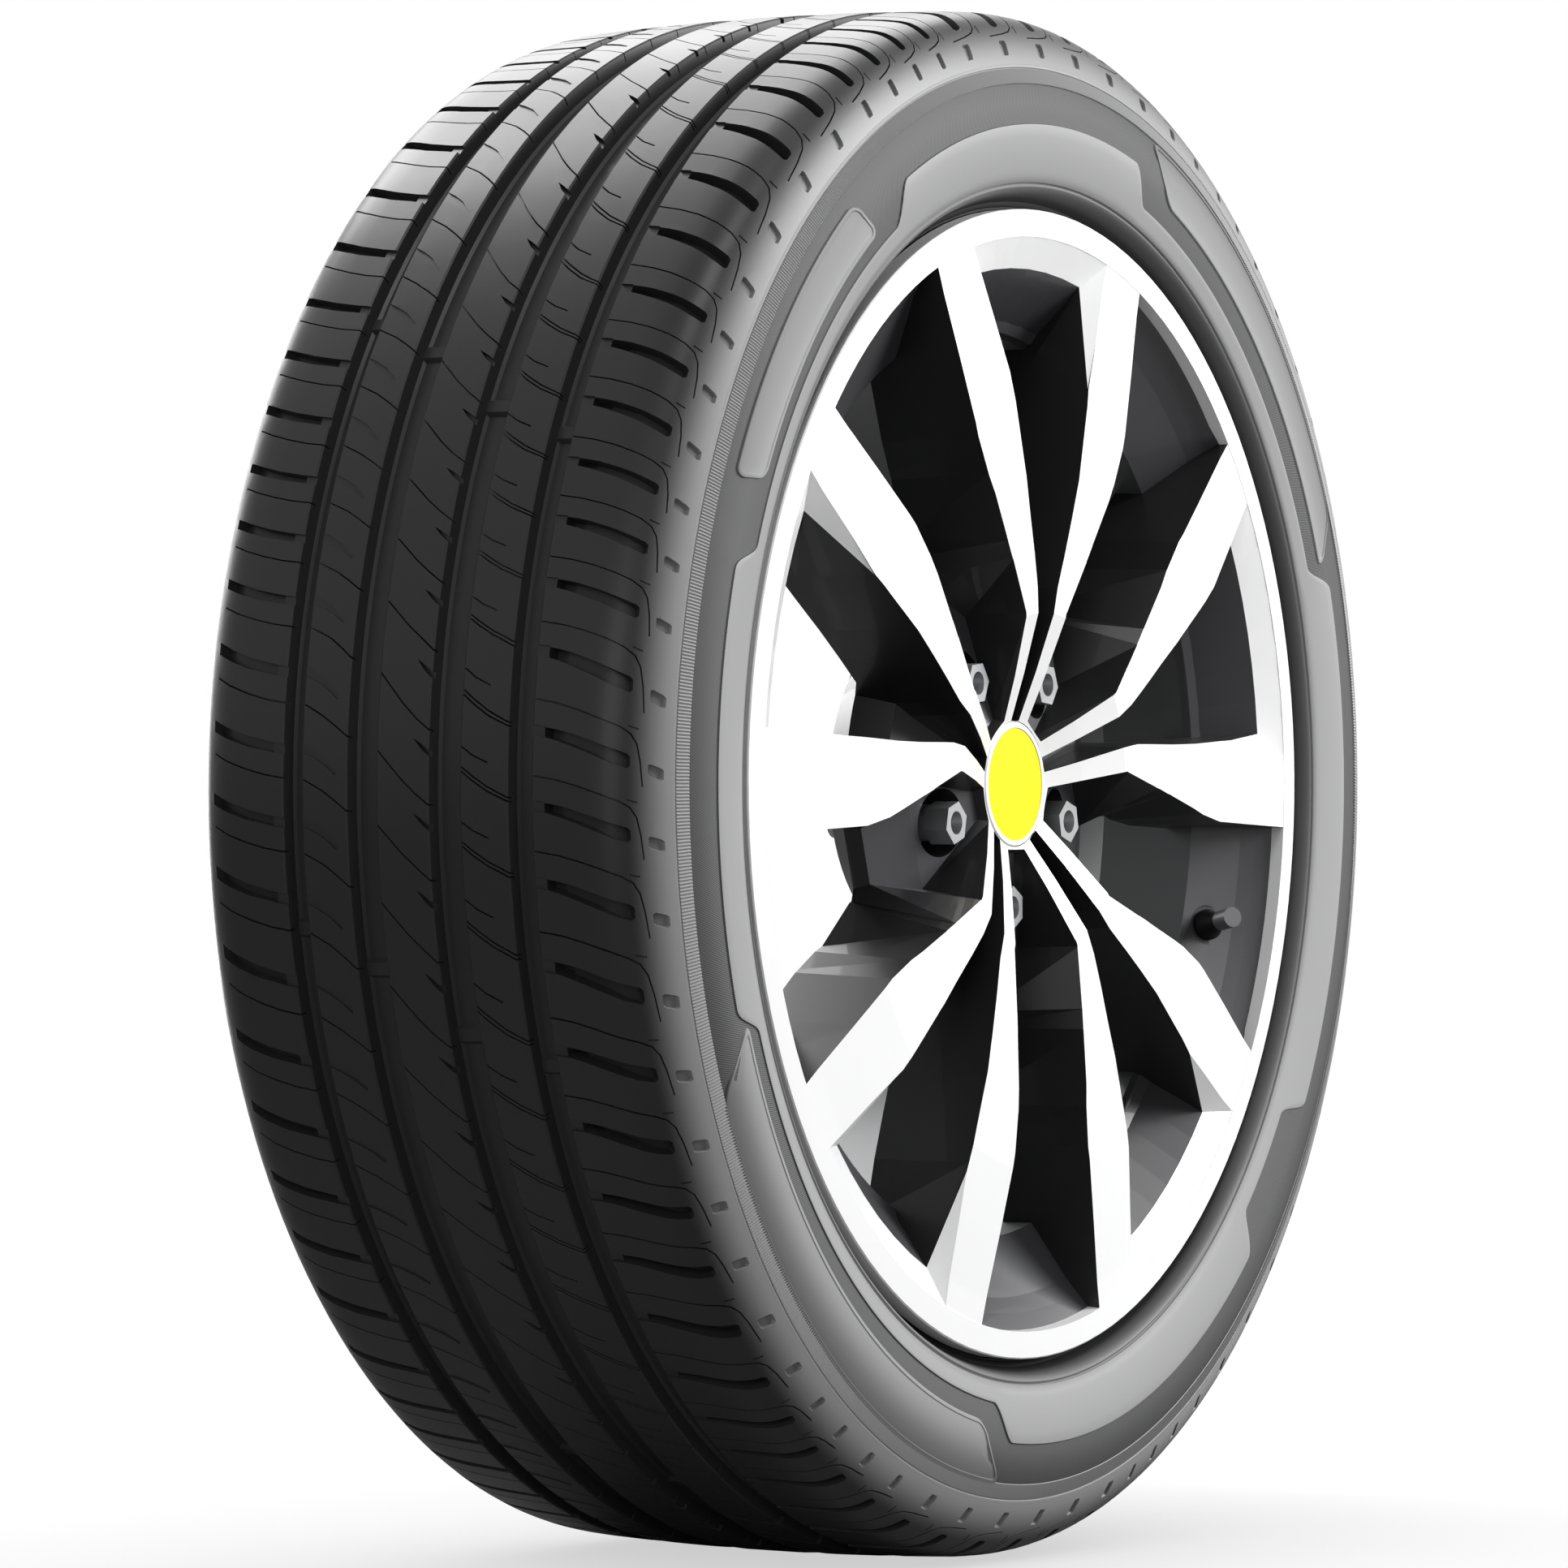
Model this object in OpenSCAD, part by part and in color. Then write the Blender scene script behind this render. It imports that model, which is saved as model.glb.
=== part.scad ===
// A passenger car tyre on its alloy wheel, with five pairs of turned blades.
// Every piece is drawn face up, with the spin axis on Z and the middle of the tyre at Z = 0.
// upright() then lays the axis along Y, with the outer face towards -Y.

/* [Tyre] */
// Outside diameter of the tyre
tyre_d = 703; // [696:1:712]
// Width of the tyre at its widest point
section_w = 243; // [239:1:247]
// Fall of the crown from its middle to where the shoulder begins
crown_fall = 2.3; // [1.5:0.1:3.5]
// Thickness of rubber left under the tread grooves
undertread_t = 8.5; // [7:0.5:11]
// Thickness of the sidewall
sidewall_t = 7; // [5.5:0.5:8.5]
// Thickness of the rubber just above the rim flange, along the axis
foot_t = 5.7055; // [5:0.0005:7]
// Gap between the tyre bead and the rim
bead_gap = 0.2; // [0.1:0.05:0.4]

/* [Tread pattern] */
// Depth of the four grooves that run round the tread
groove_depth = 7.5; // [6:0.5:8.5]
// Depth of the cross slots in the shoulders
slot_depth = 6; // [4:0.5:7]
// Width of a cross slot
slot_w = 4.8; // [3.5:0.1:6]
// Depth of the small pockets on the buttress
pocket_depth = 1.2; // [0.6:0.1:1.8]
// Depth of the decorated band below the sidewall surface
band_depth = 0.8; // [0.4:0.1:1.2]

/* [Rim] */
// Diameter at which the tyre beads seat
rim_d = 482.6; // [480:0.2:486]
// Width between the two flanges
rim_w = 203.2; // [199:0.2:207]
// Height of the flanges above the bead seats
flange_h = 18; // [17:0.5:19]
// Thickness of the outer flange, up to its turned face
flange_t = 11.6; // [10:0.2:13]
// Thickness of the barrel wall
barrel_t = 6.5; // [5:0.5:8]
// Depth of the drop centre below the bead seats
well_depth = 28.5; // [26:0.5:30]

/* [Wheel centre] */
// Distance of the mounting face from the middle of the rim, towards the outer face
offset = 43; // [38:1:46]
// Diameter of the mounting pad
pad_d = 140; // [134:1:150]
// Diameter of the centre bore
bore_d = 66.6; // [63:0.1:68]
// Diameter of the circle that the wheel bolts stand on
pcd = 112; // [110:1:114]
// Thickness of the spokes' rear wall line above the mounting face
spoke_back = 28; // [24:1:32]

/* [Bolts] */
// Thread diameter of the wheel bolts
bolt_d = 14; // [12:0.5:14]
// Width across the flats of the bolt heads
bolt_af = 17; // [16:0.5:19]
// Distance from the mounting face up to the bolt seats
seat_up = 31; // [28:1:34]
// Length of a bolt head above its seat
head_l = 25; // [22:1:27]
// Length of the bolts that stands out behind the mounting face
bolt_out = 7; // [6:0.5:24]
// How much wider the bolt holes are than the bolts
hole_over = 2.6; // [2.2:0.1:3.5]
// Diameter of the pockets round the bolt heads
pocket_d = 31; // [28:0.5:33]

/* [Centre cap] */
// Diameter of the cap
cap_d = 56.6; // [55:0.1:57.5]
// Thickness of the cap's plate
cap_t = 4; // [3:0.5:5]
// Diameter of the coloured disc in the cap
badge_d = 51; // [48:0.5:52]
// Gap round the cap in its seat
cap_gap = 0.3; // [0.2:0.05:0.5]

/* [Valve] */
// Length of the valve that shows above the rim
valve_l = 24; // [20:1:30]
// Diameter of the valve hole
valve_hole_d = 11.3; // [11:0.1:12.5]

/* [Hidden] */
$fn = 96;
eps = 0.01;
pairs = 5;
turn = 1.8;                       // how far the wheel has rolled from having a blade pair at the top
rubber = "#3a3b3d";
alloy = "#d9dadb";
steel = "#9a9c9e";

tyre_r = tyre_d / 2;
half_w = section_w / 2;
seat_r = rim_d / 2;
lip_r = seat_r + flange_h;
bead_h = rim_w / 2;
lip_h = bead_h + flange_t;
crown_half = 0.7 * half_w;
// Where the shoulder slots start and end, from the edge of the crown
outer_from = crown_half - 16.05;
outer_to = crown_half + 20.95;
inner_from = crown_half - 19.05;
inner_to = crown_half + 13.95;

// Sidewall outline: share of the way from the lip to the tread, share of the half width
SIDE = [[0.126, 0.967], [0.224, 0.985], [0.315, 0.996], [0.408, 1], [0.5, 0.996], [0.615, 0.975],
    [0.68, 0.957], [0.777, 0.925], [0.86, 0.887], [0.92, 0.84], [0.958, 0.78], [0.975, 0.7]];
function side_r(s) = lip_r + s * (tyre_r - lip_r);
function side_h(s) = half_w * lookup(s, SIDE);
function crown_r(h) = tyre_r - crown_fall * pow(h / crown_half, 2);

// Grooves: middle and width, outer side positive
GROOVES = [[57.8, 11.5], [21.2, 15.5], [-20, 15], [-55.5, 10]];
groove_draft = 1.2;
groove_round = 1.5;

// Radii on the sidewall that bound its bands
protector_s = 0.126;
ring_low_s = 0.224;
band_low_s = 0.408;
band_top_s = 0.615;

// Pitch sequence: length of each block in degrees, repeated round the tyre
BLOCKS = [3.8, 3.9, 4.1, 4.5, 5.5, 6, 6, 5.6, 4.7, 4.7, 4.7, 4.3, 4.4, 4.6, 5.5, 5.1, 5.1, 5.6, 6.1, 5.5, 5.6,
    5.1, 5.2, 6, 5.2, 4.2, 4.1, 4.9, 4.7, 5.9, 5.9, 5.9, 5.9, 5.9, 5.8];
repeats = 2;
inner_shift = 6.2;                // degrees from an outer slot on to the inner slot that belongs to it
function sum_to(v, n) = n <= 0 ? 0 : v[n - 1] + sum_to(v, n - 1);
block_sum = sum_to(BLOCKS, len(BLOCKS));
block_scale = 360 / repeats / block_sum;
first_block = 105.5;              // degrees from the X axis to the first block
seam_turn = 1.6;                  // puts the seam of the tyre's turned shapes where no cut crosses it
block_starts = [for (k = [0:repeats - 1]) for (i = [0:len(BLOCKS) - 1])
    first_block + 360 / repeats * k + block_scale * sum_to(BLOCKS, i)];

// Turned face of the wheel: share of the way from the cap to the lip, height from the lip
cap_seat_r = cap_d / 2 + cap_gap;
FACE = [[0, -13.6], [0.095, -5.8], [0.212, 2.6], [0.333, 4.5], [0.484, 6.1], [0.636, 5.5],
    [0.765, 3.3], [0.895, 0.8], [0.947, 0.2], [1, 0]];
function wheel_r(t) = cap_seat_r + t * (lip_r - cap_seat_r);
function face_h(r) = lip_h + lookup((r - cap_seat_r) / (lip_r - cap_seat_r), FACE);

seat_h = offset + seat_up;
back_h = offset + spoke_back;
well_in_r = seat_r - well_depth - barrel_t;
above = lip_h + 20;

// Window between the two blades of a pair: share of the reach, half width, floor height
INNER = [[0, 3.6, 92], [0.212, 7.5, 86], [0.262, 9.6, 84], [0.3, 12.4, 60], [0.398, 19.8, 60],
    [0.484, 25.8, 60], [0.592, 32.5, 60], [0.657, 36.7, 60]];
inner_draft = 1;                  // how much narrower that window gets on each side at its floor
inner_top_t = 0.947;              // where its bevel meets the turned face
inner_edge_t = 0.886;             // where its bevel ends
inner_top_deg = 14.9;
inner_edge_deg = 12.1;
bevel_drop = 6.5;
bevel_start = 0.5;                // how deep the bevel is where it begins
face_over = 0.7;                  // how far above the turned face the cutters' walls turn upright

// Window between two pairs: share of the reach and half width on the face, then on the floor, floor height
OUTER = [[0.004, 7.8, 0.012, 6.6, 95.5], [0.196, 30.1, 0.2, 25, 87], [0.32, 31, 0.325, 13, 78],
    [0.36, 31.4, 0.36, 16, 60], [0.514, 32.6, 0.51, 29, 60], [0.592, 34.9, 0.592, 32.4, 60],
    [0.739, 44.4, 0.739, 42, 60], [0.92, 56.3, 0.92, 54.5, 60]];
outer_deg = 13;
outer_over = 6;                   // how far that window's cutter runs on into the rim

module upright() { rotate([90, 0, 0]) children(); }
module turned() { rotate([0, 0, seam_turn]) rotate_extrude() children(); }
module around(n, start = 0) { for (k = [0:n - 1]) rotate([0, 0, start + 360 * k / n]) children(); }

// Closed solid through rings of equal length: each ring runs up one side and back down the other
module loft(rings) {
    n = len(rings[0]);
    half = n / 2;
    m = len(rings);
    points = [for (ring = rings) for (q = ring) q];
    sides = [for (k = [0:m - 2]) for (i = [0:n - 1]) let (j = (i + 1) % n)
        each [[k * n + i, k * n + j, (k + 1) * n + i], [k * n + j, (k + 1) * n + j, (k + 1) * n + i]]];
    top = [for (i = [0:half - 2]) let (p = n - 1 - i)
        each [[i, p, i + 1], [p, p - 1, i + 1]]];
    low = (m - 1) * n;
    bottom = [for (i = [0:half - 2]) let (p = n - 1 - i)
        each [[low + i, low + i + 1, low + p], [low + p, low + i + 1, low + p - 1]]];
    polyhedron(points, concat(sides, top, bottom));
}
// Ring of the loft from stations along +X: [distance along, half width, height]
function ring(stations) = concat([for (q = stations) [q[0], -q[1], q[2]]],
    [for (i = [len(stations) - 1:-1:0]) let (q = stations[i]) [q[0], q[1], q[2]]]);
// Stations round the far end of a window, from one corner to its middle line
end_steps = 3;
function end_stations(r, from_deg, h) = [for (k = [0:end_steps])
    let (a = from_deg * (1 - k / end_steps)) [r * cos(a), max(r * sin(a), 0.5), h]];

// Two points of the tyre's outline between the rim flange and the protector: radius and height
flange_point = [lip_r + 3.4, bead_h + 4];
protector_point = [lip_r + 0.7 * (side_r(protector_s) - lip_r), half_w * 0.953];
// Height of the outline at a radius between these two
function foot_h(r) = flange_point[1]
    + (protector_point[1] - flange_point[1]) * (r - flange_point[0]) / (protector_point[0] - flange_point[0]);

// Half of the outer outline of the tyre, from the lip up to the shoulder
function half_outline(side) = concat(
    [[lip_r + bead_gap, side * (bead_h + 2.5)], [flange_point[0], side * flange_point[1]],
     [protector_point[0], side * protector_point[1]]],
    [for (q = SIDE) [side_r(q[0]), side * side_h(q[0])]]);

// Outline of one groove, walked from its outer edge to its inner edge
function groove_outline(g) = let (a = g[0] + g[1] / 2, b = g[0] - g[1] / 2, r = crown_r(g[0]) - groove_depth)
    [[crown_r(a), a], [r + groove_round, a - groove_draft], [r, a - groove_draft - groove_round],
     [r, b + groove_draft + groove_round], [r + groove_round, b + groove_draft], [crown_r(b), b]];
function reversed(v) = [for (i = [len(v) - 1:-1:0]) v[i]];

// Inner outline of the casing, from one bead toe round to the other
function casing_half(side) = [[seat_r + bead_gap + 1.2, side * (bead_h - 16)], [seat_r + 12, side * (bead_h - 14)],
    [side_r(0.05), side * (foot_h(side_r(0.05)) - foot_t)],
    [side_r(0.224), side * (side_h(0.224) - sidewall_t - 2)], [side_r(0.408), side * (half_w - sidewall_t)],
    [side_r(0.615), side * (side_h(0.615) - sidewall_t - 1)], [side_r(0.72), side * (side_h(0.72) - sidewall_t - 9)],
    [crown_r(0) - groove_depth - undertread_t - 1.5, side * crown_half]];

module casing_section() {
    bead = bead_h - bead_gap;
    polygon(concat(
        [[seat_r + bead_gap - 1.2, bead_h - 14], [seat_r + bead_gap, bead - 3], [seat_r + 4, bead],
         [lip_r - 2, bead]],
        half_outline(1),
        [for (g = GROOVES) if (g[0] > 0) each groove_outline(g)],
        [[tyre_r, 0]],
        [for (g = GROOVES) if (g[0] < 0) each groove_outline(g)],
        reversed(half_outline(-1)),
        [[lip_r - 2, -bead], [seat_r + 4, -bead], [seat_r + bead_gap, 3 - bead],
         [seat_r + bead_gap - 1.2, 14 - bead_h]],
        casing_half(-1),
        [[crown_r(0) - groove_depth - undertread_t, 0]],
        reversed(casing_half(1))));
}

// Cutter that stands on the tread at one height and leans with the shoulder: outline in [height, along]
module tread_cut(outline, r, h, lean) {
    translate([r, 0, h]) rotate([0, 90 + lean, 0])
        linear_extrude(30) polygon([for (q = outline) [-(q[0] - h), q[1]]]);
}
// Slot that runs outwards from height h0 to h1 and slants along the tread on its way
function slot_outline(h0, h1, slant) = let (d = h1 - h0, end = sign(d))
    [[h0, 0], [h0 + 0.45 * d, 0.28 * slant], [h1 - end, slant - 0.6], [h1, slant + 0.8], [h1, slant + slot_w],
     [h0 + 0.45 * d, 0.28 * slant + slot_w * 1.05], [h0, slot_w * 0.85]];

module shoulder_slots() {
    for (a = block_starts) rotate([0, 0, a]) {
        tread_cut(slot_outline(outer_from, outer_to, 9.5), crown_r(outer_from) - slot_depth, outer_from, 11);
        rotate([0, 0, inner_shift])
            tread_cut(slot_outline(-inner_from, -inner_to, -9.5), crown_r(inner_from) - slot_depth, -inner_from, -7);
    }
}
module buttress_pockets() {
    s = 0.777;
    for (a = block_starts) rotate([0, 0, a + 2.4]) translate([side_r(s), 0, side_h(s)])
        rotate([0, 24, 0]) translate([-3.2, -3.2, -pocket_depth]) cube([6.4, 6.4, 10]);
}

// Band of the sidewall between two shares, cut to the band depth
module side_band(s0, s1) {
    cut = [for (q = SIDE) if (q[0] > s0 && q[0] < s1) q[0]];
    line = concat([s0], cut, [s1]);
    turned() polygon(concat([for (s = line) [side_r(s), side_h(s) - band_depth]],
        [for (i = [len(line) - 1:-1:0]) [side_r(line[i]), side_h(line[i]) + 5]]));
}
// Patch of the sidewall between two angles and two shares, with ends that lean by some degrees
module patch(a0, a1, s0, s1, lean) {
    steps = ceil((a1 - a0) / 6);
    low = [for (k = [0:steps]) let (a = a0 + (a1 - a0) * k / steps) side_r(s0) * [cos(a), sin(a)]];
    top = [for (k = [steps:-1:0]) let (a = a0 - lean + (a1 - a0 + 2 * lean) * k / steps)
        side_r(s1) * [cos(a), sin(a)]];
    translate([0, 0, half_w * 0.8]) linear_extrude(half_w) polygon(concat(low, top));
}
// Places on the outer sidewall where the band keeps its plain width: first and last angle
PLAIN = [[-32, 23], [74, 121], [162, 203], [262, 315]];
// Raised panels where it is wide: first and last angle, lower and upper share, lean of the ends
PANELS = [[26.5, 71, 0.332, 0.6, 1.6], [127, 156.5, 0.29, 0.54, 0.8], [205, 259, 0.32, 0.65, 1.8]];

module sidewall_bands() {
    low_r = side_r(ring_low_s) - 2;
    difference() {
        side_band(ring_low_s, band_top_s);
        intersection() {
            turned() translate([low_r, 0.8 * half_w]) square([side_r(band_low_s) - low_r, half_w]);
            union() for (w = PLAIN) patch(w[0], w[1], ring_low_s - 0.06, band_low_s + 0.03, -1.5);
        }
        for (q = PANELS) patch(q[0], q[1], q[2], q[3], q[4]);
    }
}

module tyre() {
    color(rubber) upright() difference() {
        turned() casing_section();
        shoulder_slots();
        buttress_pockets();
        sidewall_bands();
    }
}

// Barrel of the wheel: flanges, bead seats, drop centre and inner wall
module barrel_section() {
    seat_l = 15;
    hump = 0.8;
    well_r = seat_r - well_depth;
    wall_h = bead_h - seat_l - 2;
    polygon([
        [lip_r - 12.3, lip_h + 0.45], [lip_r - 0.6, lip_h], [lip_r, lip_h - 0.6],
        [lip_r, bead_h + 3.5], [lip_r - 2, bead_h + 0.4], [lip_r - 4, bead_h],
        [seat_r + 3, bead_h], [seat_r, bead_h - 2.5], [seat_r - 1.3, bead_h - seat_l],
        [seat_r - 1.3 + hump, wall_h], [seat_r - 3, wall_h - 3],
        [well_r, wall_h - 10], [well_r, offset - 8], [well_r + 10, offset - 26],
        [well_r + 12, 20 - bead_h + 6], [seat_r - 3, 4 - wall_h],
        [seat_r - 1.3 + hump, -wall_h], [seat_r - 1.3, seat_l - bead_h], [seat_r, 2.5 - bead_h],
        [seat_r + 3, -bead_h], [lip_r - 4, -bead_h], [lip_r - 2, -bead_h - 0.4], [lip_r, -bead_h - 3.5],
        [lip_r, 0.6 - lip_h], [lip_r - 1, -lip_h], [lip_r - 9, -lip_h],
        [seat_r - 3, -bead_h - 4], [seat_r - barrel_t, 6 - bead_h],
        [seat_r - barrel_t, seat_l - bead_h + 2], [well_r + 12 - barrel_t, 26 - bead_h],
        [well_r + 10 - barrel_t, offset - 24], [well_in_r, offset - 6],
        [well_in_r, wall_h], [lip_r - 27, bead_h - 3.6], [lip_r - 20, bead_h + 1], [lip_r - 12.8, bead_h + 6]]);
}
// Disc from which the windows are cut: turned face above, mounting pad and spoke backs below
module disc_section() {
    out_r = lip_r - 10;
    polygon(concat(
        [for (q = FACE) if (q[0] < 0.95) [wheel_r(q[0]), lip_h + q[1]]],
        [[out_r, face_h(out_r)], [out_r, bead_h + 8], [lip_r - 18, bead_h + 0.2], [lip_r - 27, bead_h - 5.5],
         [well_in_r + 2.5, bead_h - 19.5], [well_in_r + 2.5, back_h - 1], [wheel_r(0.33), back_h],
         [pad_d / 2 + 8, offset + 14], [pad_d / 2, offset], [0, offset], [0, face_h(0)]]));
}

// Point at height h on the straight line from a through b
function on_line(a, b, h) = a + (b - a) * (h - a[2]) / (b[2] - a[2]);
function raised(stations, h) = [for (q = stations) [q[0], q[1], h]];

module inner_window() {
    bevel_h = lip_h - bevel_drop;
    low = [for (q = INNER) [wheel_r(q[0]), q[1] - inner_draft, q[2]]];
    face = [for (q = INNER) let (x = wheel_r(q[0])) [x, q[1], face_h(norm([x, q[1]]))]];
    last = len(INNER) - 1;
    corner = end_stations(wheel_r(inner_top_t), inner_top_deg, face_h(wheel_r(inner_top_t)));
    edge = end_stations(wheel_r(inner_edge_t), inner_edge_deg, bevel_h);
    rear = end_stations(well_in_r - 2, inner_edge_deg, back_h + 10);
    floor_end = end_stations(well_in_r - 2, inner_edge_deg, back_h - 10);
    top = concat([for (i = [0:last]) on_line(low[i], face[i], face[i][2] + face_over)],
        [for (i = [0:end_steps]) on_line(edge[i], corner[i], corner[i][2] + face_over)]);
    loft([
        ring(raised(top, above)),
        ring(top),
        ring(concat([for (i = [0:last]) on_line(low[i], face[i], face[i][2] - bevel_start)], edge)),
        ring(concat([for (i = [0:last]) on_line(low[i], face[i], low[i][2] + 0.4 * (bevel_h - low[i][2]))], rear)),
        ring(concat(low, floor_end))]);
}
module outer_window() {
    face = [for (q = OUTER) let (x = wheel_r(q[0])) [x, q[1], face_h(norm([x, q[1]]))]];
    low = [for (q = OUTER) [wheel_r(q[2]), q[3], q[4]]];
    far = lip_r - 12.3 + outer_over;
    top = concat([for (i = [0:len(OUTER) - 1]) on_line(low[i], face[i], face[i][2] + face_over)],
        end_stations(far, outer_deg, lip_h + 3));
    loft([ring(raised(top, above)), ring(top),
        ring(concat(low, end_stations(far, outer_deg - 0.3, back_h - 11)))]);
}

bolt_turn = turn + 180 / pairs;
snap_l = 7;                       // height of the groove that the cap's legs snap into
bore_top = face_h(0) - cap_t - 10.6 - snap_l;
module centre_bore() {
    translate([0, 0, offset - 1]) cylinder(d = bore_d, h = bore_top - offset + 1);
    cylinder(d = cap_d - 5, h = above);
    translate([0, 0, bore_top + 1]) cylinder(d = cap_d - 1, h = snap_l - 1.2);
    translate([0, 0, face_h(0) - cap_t - cap_gap]) cylinder(r = cap_seat_r, h = 40);
}
module bolt_hole() {
    translate([0, 0, offset - 1]) cylinder(d = bolt_d + hole_over, h = seat_up + 2);
    translate([0, 0, seat_h]) cylinder(d = pocket_d, h = 60);
    translate([0, 0, seat_h - 5]) cylinder(d1 = bolt_d + 1, d2 = bolt_d + 11, h = 5 + eps);
}
module pad_pocket() { translate([pcd / 2 - 2, 0, offset - 1]) cylinder(d = 21, h = 13); }

valve_deg = turn - 90 / pairs;
valve_r = lip_r - 40;
valve_h = bead_h - 10.6;
valve_tilt = 34;
valve_wall = 4.5;                 // thickness of the rim where the valve is drawn through
valve_gap = 0.15;
module at_valve() {
    rotate([0, 0, valve_deg]) translate([valve_r, 0, valve_h]) rotate([0, -valve_tilt, 0]) children();
}
module valve_seat() {
    at_valve() {
        translate([0, 0, -30]) cylinder(d = valve_hole_d, h = 60);
        translate([0, 0, -30 - valve_wall]) cylinder(d = 19, h = 30);
        cylinder(d = 19, h = 20);
    }
}

module wheel() {
    color(alloy) upright() difference() {
        union() {
            rotate_extrude() barrel_section();
            difference() {
                rotate_extrude() disc_section();
                around(pairs, turn + 90) inner_window();
                around(pairs, bolt_turn + 90) outer_window();
            }
        }
        centre_bore();
        around(pairs, bolt_turn + 90) translate([pcd / 2, 0, 0]) bolt_hole();
        around(pairs, turn + 90) pad_pocket();
        valve_seat();
    }
}

module centre_cap() {
    top = face_h(0) + 0.4;
    low = face_h(0) - cap_t;
    leg_r = cap_d / 2 - 3.2;
    color("#c8cacc") upright() difference() {
        union() {
            translate([0, 0, low]) cylinder(d = cap_d, h = top - low - 0.6);
            translate([0, 0, top - 0.6 - eps]) cylinder(d1 = cap_d, d2 = cap_d - 1.2, h = 0.6 + eps);
            difference() {
                rotate_extrude() polygon([[leg_r - 2, low + eps], [leg_r, low + eps], [leg_r, low - 10.6],
                    [leg_r + 2, low - 12], [leg_r - 0.5, low - 15], [leg_r - 2, low - 15]]);
                around(6) translate([0, -3, low - 20]) cube([cap_d, 6, 20 - 1]);
            }
        }
        translate([0, 0, top - 1.6]) cylinder(d = badge_d + 0.2, h = 4);
    }
}
module cap_disc() {
    top = face_h(0) + 0.4;
    color("#fff01a") upright() translate([0, 0, top - 1.6]) cylinder(d = badge_d, h = 1.2);
}

module wheel_bolt(k) {
    hex_l = 12;
    color(steel) upright() rotate([0, 0, bolt_turn + 90 + 360 / pairs * (k - 1)]) translate([pcd / 2, 0, 0]) {
        difference() {
            union() {
                translate([0, 0, offset - bolt_out]) cylinder(d = bolt_d, h = seat_up + bolt_out);
                translate([0, 0, seat_h - 4.9]) cylinder(d1 = bolt_d, d2 = bolt_d + 9.8, h = 4.9);
                translate([0, 0, seat_h - eps]) cylinder(d = bolt_d + 9.8, h = 2);
                translate([0, 0, seat_h + 2 - eps]) cylinder(d = bolt_af - 0.6, h = head_l - hex_l);
                translate([0, 0, seat_h + head_l - hex_l]) cylinder(d = bolt_af / cos(30), h = hex_l, $fn = 6);
            }
            translate([0, 0, seat_h + head_l - 8]) cylinder(d = 10.5, h = 20);
        }
    }
}

module valve_stem() {
    neck = valve_hole_d / 2 - valve_gap;
    color("#1f2022") upright() at_valve() difference() {
        rotate_extrude() polygon([[0, -valve_wall - 7], [7.6, -valve_wall - 7], [8.4, -valve_wall - 4],
            [8.4, -valve_wall - valve_gap], [neck, -valve_wall], [neck, 0], [7.4, valve_gap], [7.4, 2.5],
            [6.4, 4.5], [4.6, 9], [3.9, valve_l - 12], [3.85, valve_l - 3], [0, valve_l - 3]]);
        translate([0, 0, -20]) cylinder(d = 3, h = 60);
        translate([0, 0, valve_l - 16]) cylinder(d = 5.2, h = 30);
    }
}
module valve_core() {
    color(steel) upright() at_valve() rotate_extrude()
        polygon([[0, valve_l - 15.5], [1.4, valve_l - 15.5], [2.4, valve_l - 13], [2.4, valve_l - 8],
            [0.8, valve_l - 7], [0.8, valve_l - 3.5], [0, valve_l - 3.5]]);
}
module valve_cap() {
    color("#8c8e90") upright() at_valve() difference() {
        translate([0, 0, valve_l - 10]) cylinder(d = 9.6, h = 11);
        translate([0, 0, valve_l - 10.1]) cylinder(d = 7.9, h = 9.3);
    }
}

tyre();
wheel();
centre_cap();
cap_disc();
wheel_bolt(1);  // wheel_bolt_1
wheel_bolt(2);  // wheel_bolt_2
wheel_bolt(3);  // wheel_bolt_3
wheel_bolt(4);  // wheel_bolt_4
wheel_bolt(5);  // wheel_bolt_5
valve_stem();
valve_core();
valve_cap();
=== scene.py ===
"""Looks of a passenger car tyre on its alloy wheel. Sizes of the tread and sidewall are in millimetres here,
and become metres where a piece's mesh is made. The spin axis is Y and the outer face points to -Y."""
import bisect
import math

import bpy
from bpy.props import FloatProperty, FloatVectorProperty, IntProperty
from mathutils import Matrix, Vector


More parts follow.
